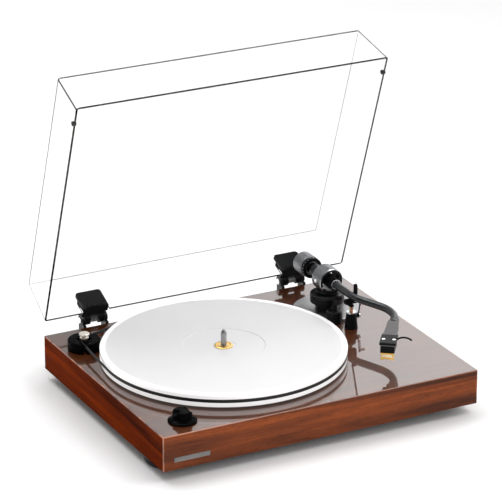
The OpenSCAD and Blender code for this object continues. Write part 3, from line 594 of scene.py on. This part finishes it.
class DeckColours(bpy.types.PropertyGroup):
    """Colours that a user would change."""

    walnut: FloatVectorProperty(
        name="Walnut", description="Middle colour of the veneer", subtype="COLOR",
        default=(0.15, 0.031, 0.005), min=0, max=1,
    )
    walnut_top: FloatVectorProperty(
        name="Walnut top", description="Middle colour of the top board, stained darker",
        subtype="COLOR", default=(0.09, 0.022, 0.004), min=0, max=1,
    )
    black: FloatVectorProperty(
        name="Black", description="Black plastic and black metal", subtype="COLOR",
        default=(0.005, 0.005, 0.006), min=0, max=1,
    )
    acrylic: FloatVectorProperty(
        name="Platter", description="Frosted acrylic of the platter", subtype="COLOR",
        default=(0.68, 0.675, 0.685), min=0, max=1,
    )
    cover: FloatVectorProperty(
        name="Cover", description="Clear acrylic of the cover", subtype="COLOR",
        default=(0.985, 0.99, 0.99), min=0, max=1,
    )
    # This near-black tint is painted shade on the cover's edges.
    cover_edge: FloatVectorProperty(
        name="Cover edge", description="The cover's edges, where light runs through its length",
        subtype="COLOR", default=(0.05, 0.053, 0.056), min=0, max=1,
    )
    gunmetal: FloatVectorProperty(
        name="Gunmetal", description="Arm tube and gimbal", subtype="COLOR",
        default=(0.085, 0.086, 0.089), min=0, max=1,
    )
    brass: FloatVectorProperty(
        name="Brass", description="Hub and jacks", subtype="COLOR",
        default=(0.83, 0.55, 0.2), min=0, max=1,
    )
    amber: FloatVectorProperty(
        name="Amber", description="Stylus holder", subtype="COLOR",
        default=(0.86, 0.46, 0.04), min=0, max=1,
    )


# --------------------------------------------------------------- operators


class DECK_OT_stage(bpy.types.Operator):
    """Floor, soft studio light and the camera"""

    bl_idname = "deck.stage"
    bl_label = "Stage"

    def light_room(self, context):
        """A pale room, brightest behind the deck on the right, with three soft boxes."""
        world = bpy.data.worlds.new("studio")
        world.use_nodes = True
        tree = world.node_tree
        look = tree.nodes.new("ShaderNodeTexCoord").outputs["Generated"]
        parts = []
        for towards, start, stop, dim in (
            ((0.46, 0.888, 0), -0.2, 0.6, 0.25),
            ((0.887, -0.462, 0), -0.06, 0.03, 0.34),
        ):
            dot = tree.nodes.new("ShaderNodeVectorMath")
            dot.operation = "DOT_PRODUCT"
            dot.inputs[1].default_value = towards
            tree.links.new(look, dot.inputs[0])
            fade = tree.nodes.new("ShaderNodeMapRange")
            fade.interpolation_type = "SMOOTHSTEP"
            for socket, value in (
                ("From Min", start), ("From Max", stop), ("To Min", dim), ("To Max", 1)
            ):
                fade.inputs[socket].default_value = value
            tree.links.new(dot.outputs["Value"], fade.inputs["Value"])
            parts.append(fade.outputs[0])
        glow = tree.nodes.new("ShaderNodeMath")
        glow.operation = "MULTIPLY"
        for socket, part in enumerate(parts):
            tree.links.new(part, glow.inputs[socket])
        room = tree.nodes.new("ShaderNodeMath")
        room.operation = "MULTIPLY"
        tree.links.new(glow.outputs[0], room.inputs[0])
        room_strength = 1.75
        room.inputs[1].default_value = room_strength
        tree.links.new(room.outputs[0], tree.nodes["Background"].inputs["Strength"])
        tree.nodes["Background"].inputs["Color"].default_value = (1, 1, 1, 1)
        context.scene.world = world
        context.scene.view_settings.view_transform = "Standard"

        for name, where, size, power in (
            ("key_light", (0.95, -0.8, 1.8), 1.0, 11),
            ("overhead_light", (-0.4, 0.8, 2.2), 1.6, 32),
            ("front_fill", (-1.0, -2.2, 0.8), 2.0, 17),
        ):
            begin()
            bpy.ops.object.light_add(type="AREA", location=where)
            light = context.object
            light.name = name
            light.data.size = size
            light.data.energy = power
            aim = Vector((0, 0, 0.1)) - Vector(where)
            light.rotation_euler = aim.to_track_quat("-Z", "Y").to_euler()
            light.visible_glossy = name != "front_fill"

    def execute(self, context):
        sizes = context.scene.deck_sizes
        begin()
        bpy.ops.mesh.primitive_plane_add(size=30, location=(0, 0, 0))
        floor = named("floor")
        paper = Finish("pale_floor", Roughness=0.9, Specular_IOR_Level=0.1)
        paper.feed(
            "Base Color",
            paper.ramp(
                paper.noise(paper.place(), 3, 3),
                (0.3, (0.95, 0.95, 0.95)),
                (0.7, (0.96, 0.96, 0.96)),
            ),
        )
        floor.data.materials.append(paper.material)

        self.light_room(context)
        target = Vector((0.19749, 0.36889, 0.013))
        flat = sizes.distance * math.cos(sizes.elevation)
        away = Vector(
            (
                flat * math.sin(sizes.azimuth),
                -flat * math.cos(sizes.azimuth),
                sizes.distance * math.sin(sizes.elevation),
            )
        )
        begin()
        bpy.ops.object.camera_add(location=target + away)
        camera = context.object
        camera.name = "studio_camera"
        camera.rotation_euler = (math.pi / 2 - sizes.elevation, 0, sizes.azimuth)
        camera.data.lens = sizes.lens / MM
        camera.data.clip_start = 0.05
        camera.data.clip_end = 60
        context.scene.camera = camera
        return {"FINISHED"}


class DECK_OT_plinth(bpy.types.Operator):
    """The veneered case, its bottom cover, screws and blank badge"""

    bl_idname = "deck.plinth"
    bl_label = "Plinth"

    def execute(self, context):
        sizes = context.scene.deck_sizes
        low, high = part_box("plinth")
        case = block("plinth_case", low / MM, high / MM)
        choose(case, "EDGE", lambda edge: True)
        bpy.ops.mesh.bevel(offset=sizes.edge, segments=4, affect="EDGES")
        done()
        lip = 4 * MM
        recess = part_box("bottom_cover")[1].z - low.z
        bottom = low.z + 0.05 * MM
        choose(case, "FACE", lambda face: face.normal.z < -0.99 and face.center.z < bottom)
        bpy.ops.mesh.inset(thickness=sizes.wall - lip - sizes.edge, depth=0)
        bpy.ops.mesh.extrude_region_move(TRANSFORM_OT_translate={"value": (0, 0, recess)})
        bpy.ops.mesh.inset(thickness=lip, depth=0)
        depth = high.z - low.z - sizes.top_board - recess
        bpy.ops.mesh.extrude_region_move(TRANSFORM_OT_translate={"value": (0, 0, depth)})
        done()
        for node, radius in (
            ("bearing_housing", 11.05),
            ("motor", 8),
            ("arm_bearing", 8.05),
            ("knob_shaft", 3.5),
        ):
            middle = centre_of(node)
            hole = turned(
                "hole",
                [(0, -10), (radius, -10), (radius, 90), (0, 90)],
                upright(middle.x, middle.y, 0),
                steps=48,
            )
            cut(case, hole)
        panel_low, panel_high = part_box("terminal_plate")
        inset = Vector((6, 0, 4)) * MM
        tool = block(
            "opening",
            (Vector((panel_low.x, high.y - sizes.wall - 0.001, panel_low.z)) + inset) / MM,
            (Vector((panel_high.x, high.y + 0.001, panel_high.z)) - inset) / MM,
        )
        cut(case, tool)
        fitted(case, "base", None, ["plinth"])
        top = high.z - 0.0003
        inner = sizes.wall / 2

        def pick(face):
            where = face.center
            outside = (
                where.x < low.x + inner / 2
                or where.x > high.x - inner / 2
                or where.y < low.y + inner / 2
                or where.y > high.y - inner / 2
                or where.z > top
                or where.z < low.z + 0.001
            )
            if not outside:
                return 3
            # Bevel faces, leaning between two sides, take the lighter edge copy of the veneer: a
            # painted highlight.
            if where.z > low.z + 0.002 and max(abs(part) for part in face.normal) < 0.985:
                return 4
            if face.normal.z > 0.8:
                return 2
            # The side faces take the darker copy of the veneer colour (painted shade); the front
            # and back take the plain one.
            return 1 if abs(face.normal.x) > 0.7 else 0

        banded(
            case,
            [
                FINISHES["wood_x"], FINISHES["wood_y"], FINISHES["wood_top"],
                FINISHES["board"], FINISHES["wood_edge"],
            ],
            pick,
        )
        fitted(
            finer("bottom_cover", 0.4), "base", FINISHES["black"],
            ["bottom_cover"],
        )
        painted("bottom_screws", FINISHES["black_metal"])

        plate_low, plate_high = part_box("badge")
        badge = block("badge_plate", plate_low / MM, plate_high / MM)
        choose(badge, "FACE", lambda face: face.normal.y < -0.9)
        bpy.ops.mesh.inset(thickness=0.5 * MM, depth=0)
        bpy.ops.mesh.inset(thickness=0.15 * MM, depth=-0.2 * MM)
        done()
        eased(badge, 0.08, 2, 30)
        fitted(badge, "base", FINISHES["nickel"], ["badge"])
        return {"FINISHED"}


class DECK_OT_feet(bpy.types.Operator):
    """Three turned cups, each with a soft ring under it"""

    bl_idname = "deck.feet"
    bl_label = "Feet"

    def execute(self, context):
        cup_profile = [
            (0, 2.6), (12.6, 2.6), (12.6, 2.2), (21.4, 2.2), (22.6, 3.2), (24, 3.6), (24, 6.3),
            (23.3, 6.7), (23.3, 7.4), (24, 7.8), (24, 10.6), (22.6, 12.5), (4, 12.5), (4, 26),
            (3.4, 26), (0, 26),
        ]
        ring_profile = [(12, 0.5), (12.5, 0), (20.6, 0), (21.3, 0.6), (21.6, 2.3), (12, 2.3)]
        for node, body in (
            ("foot_front_left", "front_left_foot"),
            ("foot_front_right", "front_right_foot"),
            ("foot_rear", "rear_foot"),
        ):
            middle = centre_of(node)
            place = upright(middle.x, middle.y, 0)
            cup = eased(turned(node + "_cup", cup_profile, place, steps=72), 0.35)
            fitted(cup, body, FINISHES["black_metal"], [node])
            ring = eased(turned(node + "_ring", ring_profile, place, True, 72), 0.3)
            fitted(ring, body, FINISHES["rubber"])
        return {"FINISHED"}


class DECK_OT_knob(bpy.types.Operator):
    """The speed selector with its skirt and pinch ridge"""

    bl_idname = "deck.knob"
    bl_label = "Speed knob"

    def execute(self, context):
        middle = centre_of("speed_knob")
        low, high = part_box("speed_knob")
        skirt = (high.x - low.x) / 2 / MM
        tall = (high.z - low.z) / MM
        place = upright(middle.x, middle.y, low.z)
        body = skirt - 5.6
        knob = turned(
            "speed_knob_turned",
            [
                (3, 0), (skirt - 0.4, 0), (skirt, 0.3), (skirt, 1.3), (skirt - 0.8, 1.9),
                (body + 1.4, 3.1), (body + 0.3, 3.7), (body, 4.6), (body - 0.2, tall - 1),
                (body - 1, tall), (0, tall), (0, 1.6), (3, 1.6),
            ],
            place,
            steps=96,
        )
        for side in (-1, 1):
            begin()
            bpy.ops.mesh.primitive_uv_sphere_add(segments=64, ring_count=32, radius=0.010)
            scoop = named("scoop")
            settle(scoop, place @ Matrix.Translation((side * 0.012, 0, 0.018)))
            cut(knob, scoop)
        eased(knob, 0.35, 3, 40)
        fitted(knob, "selector", FINISHES["black_gloss"], ["speed_knob"], 50)
        line = block("knob_pointer", (-0.3, 4.5, tall - 0.25), (0.3, body - 1.4, tall))
        settle(line, place)
        fitted(line, "selector", FINISHES["white_mark"])
        painted("knob_shaft", FINISHES["steel"])
        painted("speed_switch", FINISHES["black"])
        return {"FINISHED"}


class DECK_OT_motor(bpy.types.Operator):
    """Motor, its pod, the pulley and the belt"""

    bl_idname = "deck.motor"
    bl_label = "Motor and belt"

    def execute(self, context):
        fitted(
            finer("motor_guard", 0.7, 3, 30), "base", FINISHES["black_gloss"],
            ["motor_guard"],
        )
        low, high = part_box("motor_pulley")
        middle = centre_of("motor_pulley")
        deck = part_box("plinth")[1].z
        foot = (low.z - deck) / MM
        place = upright(middle.x, middle.y, deck)
        pulley = turned(
            "motor_pulley_turned",
            [
                (0, foot), (1, foot), (1, 6), (6.4, 6), (6.4, 7), (5, 7.4), (5.12, 10.4),
                (5, 13.4), (5.6, 13.7), (5.6, 14.6), (2.8, 14.6), (2.8, 18), (6.5, 18),
                (6.5, 19.7), (6, 20.2), (1.1, 20.2), (0.8, 19.4), (0, 19.4),
            ],
            place,
            steps=64,
        )
        eased(pulley, 0.12, 2, 40)
        fitted(pulley, "pulley", FINISHES["pulley"], ["motor_pulley"], 40)
        fitted(
            finer("drive_belt", 0.12, 2, 50), "base", FINISHES["belt"], ["drive_belt"]
        )
        painted("motor", FINISHES["steel"])
        painted("motor_bracket", FINISHES["steel"])
        return {"FINISHED"}


class DECK_OT_platter(bpy.types.Operator):
    """Acrylic platter, brass hub, record spindle and the bearing under them"""

    bl_idname = "deck.platter"
    bl_label = "Platter"

    def execute(self, context):
        low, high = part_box("platter")
        middle = centre_of("platter")
        radius = (high.x - low.x) / 2 / MM
        tall = (high.z - low.z) / MM
        place = upright(middle.x, middle.y, low.z)
        groove_low, groove_high = 5.5, 10.5
        disc = turned(
            "platter_disc",
            [
                (11.5, 4), (30.2, 4), (30.2, 0), (radius - 1, 0), (radius, 1),
                (radius, groove_low), (radius - 1, groove_low), (radius - 1, groove_high),
                (radius, groove_high), (radius, tall - 1.2), (radius - 1.2, tall),
                (radius - 7, tall), (radius - 7.3, tall - 0.12), (50.6, tall - 0.12),
                (50, tall - 0.8), (15.2, tall - 0.8), (15, tall - 1.3), (11.5, tall - 1.3),
            ],
            place,
            True,
            256,
        )
        eased(disc, 0.18, 2, 40)
        fitted(disc, "turning_platter", None, ["platter"], 30)
        rim = (radius - 7.1) * MM
        flat = middle.to_2d()

        # Faces beyond the rim radius, the polished band and the sides, take the glowing rim
        # finish (painted glow); the rest take the faintly glowing frosted top.
        def pick(face):
            return 1 if (face.center.to_2d() - flat).length > rim else 0

        banded(disc, [FINISHES["frosted"], FINISHES["polished"]], pick)

        hub_low, hub_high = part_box("platter_hub")
        hub_tall = (hub_high.z - hub_low.z) / MM
        hub = turned(
            "platter_hub_turned",
            [
                (4, 0), (30, 0), (30, 3.9), (11.45, 3.9), (11.45, hub_tall - 0.8),
                (10.9, hub_tall - 0.3), (9.2, hub_tall - 0.1), (8.9, hub_tall - 0.9),
                (7.2, hub_tall - 0.9), (6.9, hub_tall), (4, hub_tall),
            ],
            upright(middle.x, middle.y, hub_low.z),
            True,
            96,
        )
        eased(hub, 0.1, 2, 40)
        fitted(hub, "turning_platter", FINISHES["brass"], ["platter_hub"], 40)

        pin_low, pin_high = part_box("spindle")
        top = (pin_high.z - hub_high.z) / MM
        drop = (pin_low.z - hub_high.z) / MM
        pin = turned(
            "spindle_turned",
            [
                (0, drop), (3.6, drop), (4, drop + 0.4), (4, 0.05), (3.57, 0.2),
                (3.57, 9.8), (3.2, 10.1), (3.2, 10.7), (3.57, 11), (3.57, top - 5.6),
                (3.4, top - 4.6), (2.9, top - 3.2), (2.2, top - 1.6), (1.3, top - 0.5),
                (0.5, top - 0.06), (0, top),
            ],
            upright(middle.x, middle.y, hub_high.z),
            steps=64,
        )
        fitted(pin, "turning_platter", FINISHES["steel"], ["spindle"], 35)
        painted("bearing_housing", FINISHES["steel"])
        painted("bearing_bush", FINISHES["brass"])
        painted("thrust_ball", FINISHES["chrome"])
        return {"FINISHED"}


class DECK_OT_hinges(bpy.types.Operator):
    """Hinge brackets, pins, springs and the grips that hold the cover"""

    bl_idname = "deck.hinges"
    bl_label = "Hinges"

    def execute(self, context):
        fitted(
            finer("hinge_brackets", 0.5), "base", FINISHES["black_metal"],
            ["hinge_brackets"],
        )
        fitted(
            finer("hinge_grips", 0.6, 3), "hinge_arms", FINISHES["black"],
            ["hinge_grips"],
        )
        fitted(finer("hinge_pins", 0.3), "base", FINISHES["chrome"], ["hinge_pins"])
        painted("hinge_springs", FINISHES["steel"])
        painted("hinge_screws", FINISHES["black_metal"])
        return {"FINISHED"}


class DECK_OT_cover(bpy.types.Operator):
    """The clear cover and its two bumpers, modelled shut and then swung open"""

    bl_idname = "deck.cover"
    bl_label = "Dust cover"

    def execute(self, context):
        sizes = context.scene.deck_sizes
        low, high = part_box("dust_cover")
        pivot = Vector(JOINTS["cover_hinge"]["pos_m"])
        half = (high.x - low.x) / 2
        rear = pivot.y - 14.7 * MM
        rim = pivot.z - 5.4 * MM
        front = rear - sizes.cover_depth
        top = rim + sizes.cover_height
        cover = block(
            "dust_cover_sheet", Vector((-half, front, rim)) / MM, Vector((half, rear, top)) / MM
        )
        side_inset, end_inset = 5.3 * MM, 4.4 * MM
        choose(cover, "FACE", lambda face: face.normal.z > 0.9)
        bpy.ops.transform.resize(
            value=(1 - side_inset / half, 1 - 2 * end_inset / sizes.cover_depth, 1),
            center_override=(0, (front + rear) / 2, top),
        )
        done()
        ends = [vertex.co.z for vertex in cover.data.vertices]
        middle_z = (min(ends) + max(ends)) / 2

        def upright_edge(edge):
            a, b = (cover.data.vertices[i].co for i in edge.vertices)
            return (a.z - middle_z) * (b.z - middle_z) < 0

        choose(cover, "EDGE", upright_edge)
        bpy.ops.mesh.bevel(offset=sizes.cover_corner, segments=6, affect="EDGES")
        done()

        def top_edge(edge):
            a, b = (cover.data.vertices[i].co for i in edge.vertices)
            return a.z > middle_z and b.z > middle_z

        choose(cover, "EDGE", top_edge)
        bpy.ops.mesh.bevel(offset=1.8 * MM, segments=2, affect="EDGES")
        done()
        choose(cover, "FACE", lambda face: face.normal.z < -0.9)
        bpy.ops.mesh.delete(type="FACE")
        done()
        modified(
            cover, "SOLIDIFY", thickness=sizes.cover_sheet, offset=-1.0,
            use_even_offset=True,
        )
        half_grip, half_notch = 17 * MM, 18 * MM
        for side in (-1, 1):
            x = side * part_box("hinge_grips")[1].x - side * half_grip
            notch = block(
                "notch",
                Vector((x - half_notch, rear - 8 * MM, rim - 2 * MM)) / MM,
                Vector((x + half_notch, rear + 4 * MM, rim + 9 * MM)) / MM,
            )
            cut(cover, notch)
        eased(cover, 0.35, 2, 50)
        rim_top = rim + 0.5 * MM
        flat_top = top - 2.1 * MM

        # The rim faces and the folded top edges take the near-black edge tint: painted shade.
        def pick(face):
            if face.center.z < rim_top:
                return 1
            folded = abs(face.normal.z) > 0.15 and abs(face.normal.z) < 0.985
            return 1 if folded and face.center.z > flat_top else 0

        banded(cover, [FINISHES["clear"], FINISHES["clear_edge"]], pick)
        settle(cover, cover_place())
        fitted(cover, "cover", None, ["dust_cover"], 40)

        lean = math.atan2(side_inset, sizes.cover_height)
        clip_y = rear - 0.3048
        clip_rise = 2.3 * MM
        clips = []
        for side in (-1, 1):
            clip_x = side * (half - sizes.cover_sheet / 2)
            seat = cover_place() @ upright(clip_x, clip_y, rim)
            clip = turned(
                "bumper",
                [(0, -2.3), (2.6, -2.3), (3, -1.9), (3, 1.9), (2.6, 2.3), (0, 2.3)],
                seat @ upright(0, 0, clip_rise) @ Matrix.Rotation(math.pi / 2, 4, "Y"),
                steps=40,
            )
            slot = block(
                "slot", (-1.35, -5, -0.15), (1.35, 5, 10),
                seat @ Matrix.Rotation(-side * lean, 4, "Y"),
            )
            clips.append(cut(clip, slot))
        fitted(
            together("cover_bumper_pair", clips), "cover", FINISHES["rubber"],
            ["cover_bumpers"], 50,
        )
        return {"FINISHED"}


class DECK_OT_arm_base(bpy.types.Operator):
    """Silver base disc, column, rest, lift and the anti-skate dial"""

    bl_idname = "deck.arm_base"
    bl_label = "Arm base"

    def execute(self, context):
        for node, width, slot, finish in (
            ("arm_base", 0.35, "silver_metal", "silver"),
            ("arm_column", 0.5, "black_metal", "black_metal"),
            ("lift_cylinder", 0.4, "black_metal", "black_metal"),
            ("rest_post", 0.5, "black_plastic", "black"),
        ):
            fitted(finer(node, width), "base", FINISHES[finish], [node])
        rest = finer("arm_rest", 0.5)
        fitted(rest, "base", None, ["arm_rest"])
        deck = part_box("plinth")[1].z
        washer = deck + 21.8 * MM
        stub = deck + 27.6 * MM
        banded(
            rest,
            [FINISHES["black"], FINISHES["chrome"], FINISHES["copper"]],
            lambda face: 1 if face.center.z < washer else 2 if face.center.z < stub else 0,
        )
        fitted(
            finer("lift_bar", 0.4), "lift", FINISHES["black_metal"], ["lift_bar"]
        )
        fitted(finer("cue_lever", 0.4), "lever", FINISHES["chrome"], ["cue_lever"])
        fitted(
            finer("anti_skate_dial", 0.15, 2, 50), "anti_skate",
            FINISHES["silver"], ["anti_skate_dial"],
        )
        painted("arm_bearing", FINISHES["steel"])
        return {"FINISHED"}


class DECK_OT_gimbal(bpy.types.Operator):
    """Gimbal yoke, ring with its polished lips, and the pivot block"""

    bl_idname = "deck.gimbal"
    bl_label = "Gimbal"

    def execute(self, context):
        fitted(
            finer("gimbal_base", 0.4), "gimbal", FINISHES["black_metal"],
            ["gimbal_base"],
        )
        ring = finer("gimbal_ring", 0.6, 3)
        fitted(ring, "gimbal", None, ["gimbal_ring"])
        low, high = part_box("gimbal_ring")
        middle = centre_of("gimbal_ring")
        axis = JOINTS["arm_tilt"]["pos_m"]
        bore = 12.6 * MM
        outer = 16.3 * MM

        def pick(face):
            where = face.center
            radius = math.hypot(where.x - axis[0], where.z - axis[2])
            if radius > 16.7 * MM:
                return 2
            if radius < bore:
                return 1
            at_end = abs(where.y - middle.y) > (high.y - low.y) / 2 - 1.2 * MM
            return 3 if at_end and radius > bore and radius < outer else 0

        banded(
            ring,
            [
                FINISHES["gunmetal"], FINISHES["black_metal"], FINISHES["chrome"],
                FINISHES["gunmetal_edge"],
            ],
            pick,
        )
        fitted(
            finer("pivot_block", 0.4), "arm", FINISHES["black_metal"],
            ["pivot_block"],
        )
        return {"FINISHED"}


class DECK_OT_arm_tube(bpy.types.Operator):
    """The S-shaped tube: a ring drawn straight, spun round each bend and drawn on"""

    bl_idname = "deck.arm_tube"
    bl_label = "Arm tube"

    def execute(self, context):
        pivot = Vector(JOINTS["arm_tilt"]["pos_m"])
        seat = Vector(JOINTS["collar_turn"]["pos_m"])
        radius = 4.75 * MM
        bend_out, bend_in = 60 * MM, 50 * MM
        turn_out = math.radians(21)
        x, y, _ = JOINTS["collar_turn"]["axis"]
        turn_in = turn_out + math.atan2(-x, -y)
        start, first_run, middle_run, last_run = 5 * MM, 54 * MM, 29 * MM, 12.3 * MM
        begin()
        bpy.ops.mesh.primitive_circle_add(vertices=48, radius=radius, fill_type="NGON")
        tube = named("arm_tube_bent")
        tube.matrix_world = (
            Matrix.Translation(pivot + Vector((0, -start, 0)))
            @ Matrix.Rotation(math.pi / 2, 4, "X")
        )
        bpy.ops.object.transform_apply(location=True, rotation=True, scale=True)
        bpy.ops.object.mode_set(mode="EDIT")
        bpy.ops.mesh.select_all(action="SELECT")
        here = pivot + Vector((0, -start, 0))
        heading = Vector((0, -1, 0))
        bpy.ops.mesh.extrude_region_move(TRANSFORM_OT_translate={"value": heading * first_run})
        here = here + heading * first_run
        centre = here + Vector((bend_out, 0, 0))
        bpy.ops.mesh.spin(
            steps=16, angle=-turn_out, center=centre, axis=(0, 0, 1), dupli=False
        )
        heading = Matrix.Rotation(turn_out, 3, "Z") @ heading
        bpy.ops.mesh.extrude_region_move(TRANSFORM_OT_translate={"value": heading * middle_run})
        side = Vector((heading.y, -heading.x, 0))
        here = centre + Matrix.Rotation(turn_out, 3, "Z") @ Vector((-bend_out, 0, 0))
        here = here + heading * middle_run
        centre = here + side * bend_in
        bpy.ops.mesh.spin(
            steps=36, angle=turn_in, center=centre, axis=(0, 0, 1), dupli=False
        )
        heading = Matrix.Rotation(-turn_in, 3, "Z") @ heading
        bpy.ops.mesh.extrude_region_move(TRANSFORM_OT_translate={"value": heading * last_run})
        cleaned()
        done()
        error = (centre + Matrix.Rotation(-turn_in, 3, "Z") @ (-side * bend_in) - seat).length
        if error > 0.3 * MM:
            raise RuntimeError(f"the arm tube misses the headshell's seat by {error / MM:.2f} mm")
        eased(tube, 0.3, 2, 60)
        fitted(tube, "arm", FINISHES["tube"], ["arm_tube"], 50)
        ring = turned(
            "arm_tube_ferrule",
            [(4.75, 0), (6.4, 0), (6.4, 1.6), (5.6, 2.2), (4.75, 2.2)],
            along_y(pivot.x, pivot.y - 23.4 * MM, pivot.z),
            True,
            64,
        )
        eased(ring, 0.25, 2, 40)
        fitted(ring, "arm", FINISHES["gunmetal_edge"], (), 40)
        return {"FINISHED"}


class DECK_OT_counterweight(bpy.types.Operator):
    """Counterweight, its sleeve and the tracking force dial"""

    bl_idname = "deck.counterweight"
    bl_label = "Counterweight"

    def execute(self, context):
        pivot = Vector(JOINTS["arm_tilt"]["pos_m"])
        low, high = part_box("counterweight")
        radius = (high.x - low.x) / 2 / MM
        start = (low.y - pivot.y) / MM
        end = (high.y - pivot.y) / MM
        place = along_y(pivot.x, pivot.y, pivot.z)
        weight = turned(
            "counterweight_turned",
            [
                (7.05, start), (9, start), (9, start + 4), (radius - 0.6, start + 4),
                (radius, start + 4.6), (radius, start + 8), (radius - 0.4, start + 8.3),
                (radius - 0.4, start + 8.9), (radius, start + 9.2), (radius, end - 1.6),
                (radius - 1.6, end), (10.6, end), (10.2, end - 0.6), (7.05, end - 0.6),
            ],
            place,
            True,
            96,
        )
        eased(weight, 0.2, 2, 40)
        fitted(weight, "weight", FINISHES["weight"], ["counterweight"], 40)
        fitted(
            finer("force_dial", 0.15, 2, 50), "tracking_dial", FINISHES["black"],
            ["force_dial"],
        )
        marks = []
        foot = start - 0.9
        for step in range(20):
            length = 3.2 if step % 5 == 0 else 2.0
            mark = block(
                "mark", (-0.22, radius - 0.72, foot), (0.22, radius - 0.56, foot + length)
            )
            turn = Matrix.Rotation(math.radians(18 * step + 9), 4, "Z")
            marks.append(settle(mark, place @ turn))
        fitted(
            together("force_dial_marks", marks), "tracking_dial",
            FINISHES["white_mark"],
        )
        painted("weight_sleeve", FINISHES["black"])
        return {"FINISHED"}


class DECK_OT_headshell(bpy.types.Operator):
    """Lock collar, headshell, finger lift, cartridge and stylus holder"""

    bl_idname = "deck.headshell"
    bl_label = "Headshell and cartridge"

    def execute(self, context):
        for node, body, width, slot, finish in (
            ("shell_collar", "collar", 0.15, "gunmetal", "tube"),
            ("headshell", "arm", 0.5, "shell_grey", "shell"),
            ("finger_lift", "arm", 0.25, "black_metal", "black"),
            ("cartridge_screws", "arm", 0.25, "chrome", "chrome"),
            ("cartridge_body", "arm", 0.45, "black_plastic", "black"),
        ):
            fitted(finer(node, width), body, FINISHES[finish], [node])
        holder = finer("stylus_holder", 0.5)
        x, y, _ = JOINTS["collar_turn"]["axis"]
        ahead = Vector((x, y, 0)).normalized() * math.copysign(1, -y)
        fronts = [face for face in holder.data.polygons if face.normal.dot(ahead) > 0.9]
        front = max(fronts, key=lambda face: face.area).index
        choose(holder, "FACE", lambda face: face.index == front)
        bpy.ops.mesh.inset(thickness=1.3 * MM, depth=0)
        bpy.ops.mesh.inset(thickness=0.1 * MM, depth=-0.1 * MM)
        done()
        patch = [face.center for face in holder.data.polygons if face.select]
        fitted(holder, "arm", None, ["stylus_holder"])
        banded(
            holder, [FINISHES["amber"], FINISHES["cream"]],
            lambda face: int(any((face.center - spot).length < 0.01 * MM for spot in patch)),
        )
        return {"FINISHED"}


class DECK_OT_terminals(bpy.types.Operator):
    """The rear terminal plate and everything on it"""

    bl_idname = "deck.terminals"
    bl_label = "Terminals"

    def execute(self, context):
        for node, body, width, slot, finish in (
            ("terminal_plate", "base", 0.4, "black_plastic", "black"),
            ("line_jacks", "base", 0.2, "brass", "brass"),
            ("ground_post", "base", 0.2, "chrome", "chrome"),
            ("ground_nut", "earth_nut", 0.15, "chrome", "chrome"),
            ("power_socket", "base", 0.25, "black_plastic", "black_gloss"),
            ("line_switch_slider", "line_switch", 0.3, "black_plastic", "ivory"),
            ("auto_stop_slider", "auto_stop", 0.3, "black_plastic", "ivory"),
        ):
            fitted(finer(node, width), body, FINISHES[finish], [node])
        painted("control_board", FINISHES["solder_mask"])
        painted("board_standoffs", FINISHES["ivory"])
        return {"FINISHED"}


OPERATORS = (
    DECK_OT_stage,
    DECK_OT_plinth,
    DECK_OT_feet,
    DECK_OT_knob,
    DECK_OT_motor,
    DECK_OT_platter,
    DECK_OT_hinges,
    DECK_OT_cover,
    DECK_OT_arm_base,
    DECK_OT_gimbal,
    DECK_OT_arm_tube,
    DECK_OT_counterweight,
    DECK_OT_headshell,
    DECK_OT_terminals,
)


class DECK_PT_panel(bpy.types.Panel):
    """Lists the operators, the sizes and the colours"""

    bl_idname = "DECK_PT_panel"
    bl_label = "Record Player"
    bl_space_type = "VIEW_3D"
    bl_region_type = "UI"
    bl_category = "Record Player"

    def draw(self, context):
        for operator in OPERATORS:
            self.layout.operator(operator.bl_idname)
        for group in (context.scene.deck_sizes, context.scene.deck_colours):
            for name in group.__annotations__:
                self.layout.prop(group, name)


CLASSES = (DeckSizes, DeckColours, *OPERATORS, DECK_PT_panel)


def register():
    for cls in CLASSES:
        bpy.utils.register_class(cls)
    bpy.types.Scene.deck_sizes = PointerProperty(type=DeckSizes)
    bpy.types.Scene.deck_colours = PointerProperty(type=DeckColours)


def unregister():
    del bpy.types.Scene.deck_colours
    del bpy.types.Scene.deck_sizes
    for cls in reversed(CLASSES):
        bpy.utils.unregister_class(cls)


def main():
    register()
    make_finishes()
    for operator in OPERATORS:
        family, action = operator.bl_idname.split(".")
        getattr(getattr(bpy.ops, family), action)()


if __name__ == "__main__":
    main()
